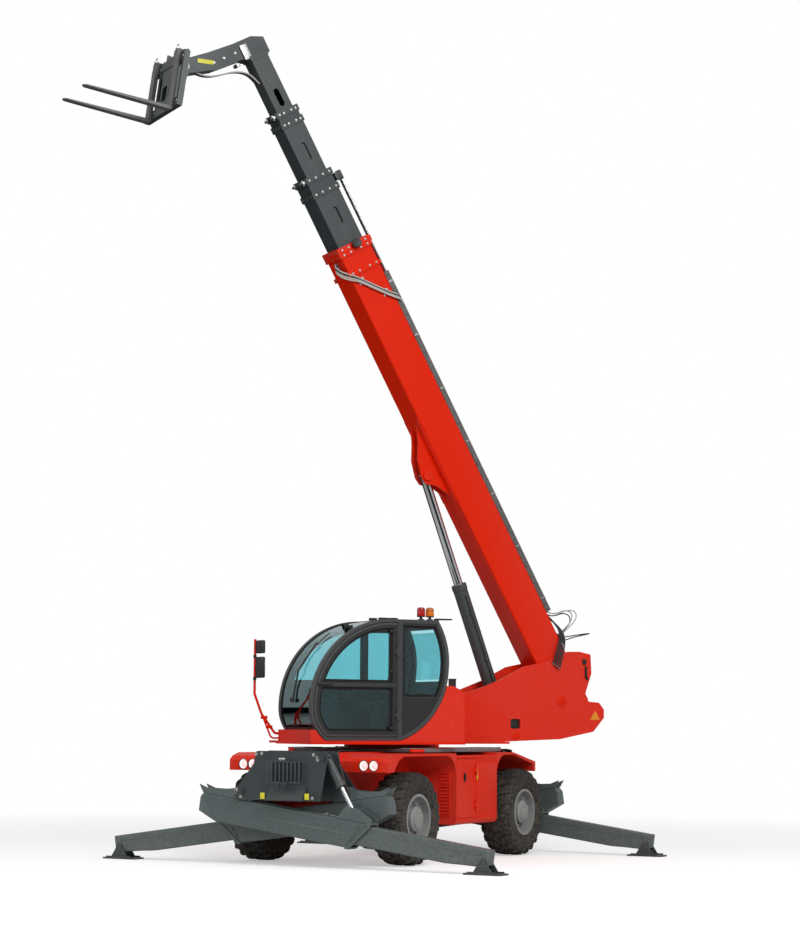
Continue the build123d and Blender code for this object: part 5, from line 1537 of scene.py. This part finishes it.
# Teeth of the upper bar, which the fork hooks drop into
def buildBarTeeth(bm):
    for tooth in range(11):
        y = -0.5 + 0.1 * tooth
        if abs(abs(y) - 0.375) > 0.08:
            addBox(bm, (0.15, y, 0.07), (0.05, 0.035, 0.022), 0.004)


piece("bar_teeth", buildBarTeeth, "greyPaint", "carriage")

# Lift cylinder: gland and its pipe with clamps
def buildGland(bm):
    gland = [(0.098, 2.085), (0.104, 2.09), (0.104, 2.158), (0.098, 2.166), (0.07, 2.172)]
    gland += [(0.064, 2.172), (0.064, 2.085)]
    addSpun(bm, gland, (0, 0, 0), (1, 0, 0), closed=True)
    for x in (0.45, 1.1, 1.75):
        addBox(bm, (x, 0.108, 0.0), (0.03, 0.04, 0.05), 0.005)
    addBox(bm, (0.22, 0.098, 0.0), (0.1, 0.05, 0.07), 0.008)


piece("lift_gland", buildGland, "greyPaint", "lift_barrel")
bends = ((0.24, 0.115), (0.32, 0.125), (0.45, 0.125), (1.9, 0.125), (2.0, 0.122), (2.04, 0.098))
pipe = [(x, y, 0) for x, y in bends]
tubes("lift_pipe", [pipe], 0.01, "greyPaint", "lift_barrel")
print("head and carriage ready")

# Studio: a pale floor that keeps the shadow, white behind, and soft lights
studio = {
    "floorSize": 400,
    "floorColour": 0.8,
    "floorGlow": 0.42,
    "fadeFrom": 7.0,
    "fadeTo": 16.0,
    "skyLight": 0.4,
    "skyInPaint": 0.3,
    "keyPower": 1900,
    "fillPower": 600,
}


def floorMaterial():
    material, tree, shader = newMaterial("floor")
    away = addNode(tree, "ShaderNodeVectorMath", operation="LENGTH")
    link(tree, addNode(tree, "ShaderNodeTexCoord").outputs["Object"], away.inputs[0])
    faded = rampOf(tree, away.outputs["Value"], studio["fadeFrom"], studio["fadeTo"])
    pale = (*(studio["floorColour"],) * 3, 1)
    link(tree, mixColour(tree, faded, pale, (0, 0, 0, 1)), shader.inputs["Base Color"])
    shader.inputs["Roughness"].default_value = 0.9
    shader.inputs["Specular IOR Level"].default_value = 0.0
    shader.inputs["Emission Color"].default_value = (1, 1, 1, 1)
    path = addNode(tree, "ShaderNodeLightPath")
    glow = mathOf(tree, "MULTIPLY", faded, 1.0 - studio["floorGlow"])
    glow = mathOf(tree, "ADD", glow, studio["floorGlow"])
    glow = mathOf(tree, "MULTIPLY", path.outputs["Is Camera Ray"], glow)
    link(tree, glow, shader.inputs["Emission Strength"])
    return material


def skyWorld():
    world = bpy.data.worlds.new("studio")
    world.use_nodes = True
    tree = world.node_tree
    background = tree.nodes["Background"]
    background.inputs["Color"].default_value = (1, 1, 1, 1)
    path = addNode(tree, "ShaderNodeLightPath")
    seen = mathOf(tree, "MAXIMUM", path.outputs["Is Camera Ray"], path.outputs["Is Transmission Ray"])
    mirrored = mathOf(tree, "MULTIPLY", path.outputs["Is Glossy Ray"], studio["skyInPaint"])
    seen = mathOf(tree, "MAXIMUM", seen, mirrored)
    extra = mathOf(tree, "MULTIPLY", seen, 1.0 - studio["skyLight"])
    link(tree, mathOf(tree, "ADD", extra, studio["skyLight"]), background.inputs["Strength"])
    scene.world = world


floorMesh = bmesh.new()
bmesh.ops.create_grid(floorMesh, x_segments=8, y_segments=8, size=studio["floorSize"] / 2)
mesh = bpy.data.meshes.new("floor")
floorMesh.to_mesh(mesh)
floorMesh.free()
mesh.materials.append(floorMaterial())
floor = bpy.data.objects.new("floor", mesh)
scene.collection.objects.link(floor)
skyWorld()


def softLight(name, power, size, place, target):
    lamp = bpy.data.lights.new(name, "AREA")
    lamp.energy = power
    lamp.size = size
    made = bpy.data.objects.new(name, lamp)
    made.location = place
    made.rotation_mode = "QUATERNION"
    made.rotation_quaternion = (Vector(target) - Vector(place)).to_track_quat("-Z", "Y")
    scene.collection.objects.link(made)


softLight("key", studio["keyPower"], 9, (9, 13, 13), (0, 0, 4))
softLight("fill", studio["fillPower"], 12, (16, -8, 8), (0, 0, 4))

print("scene ready")
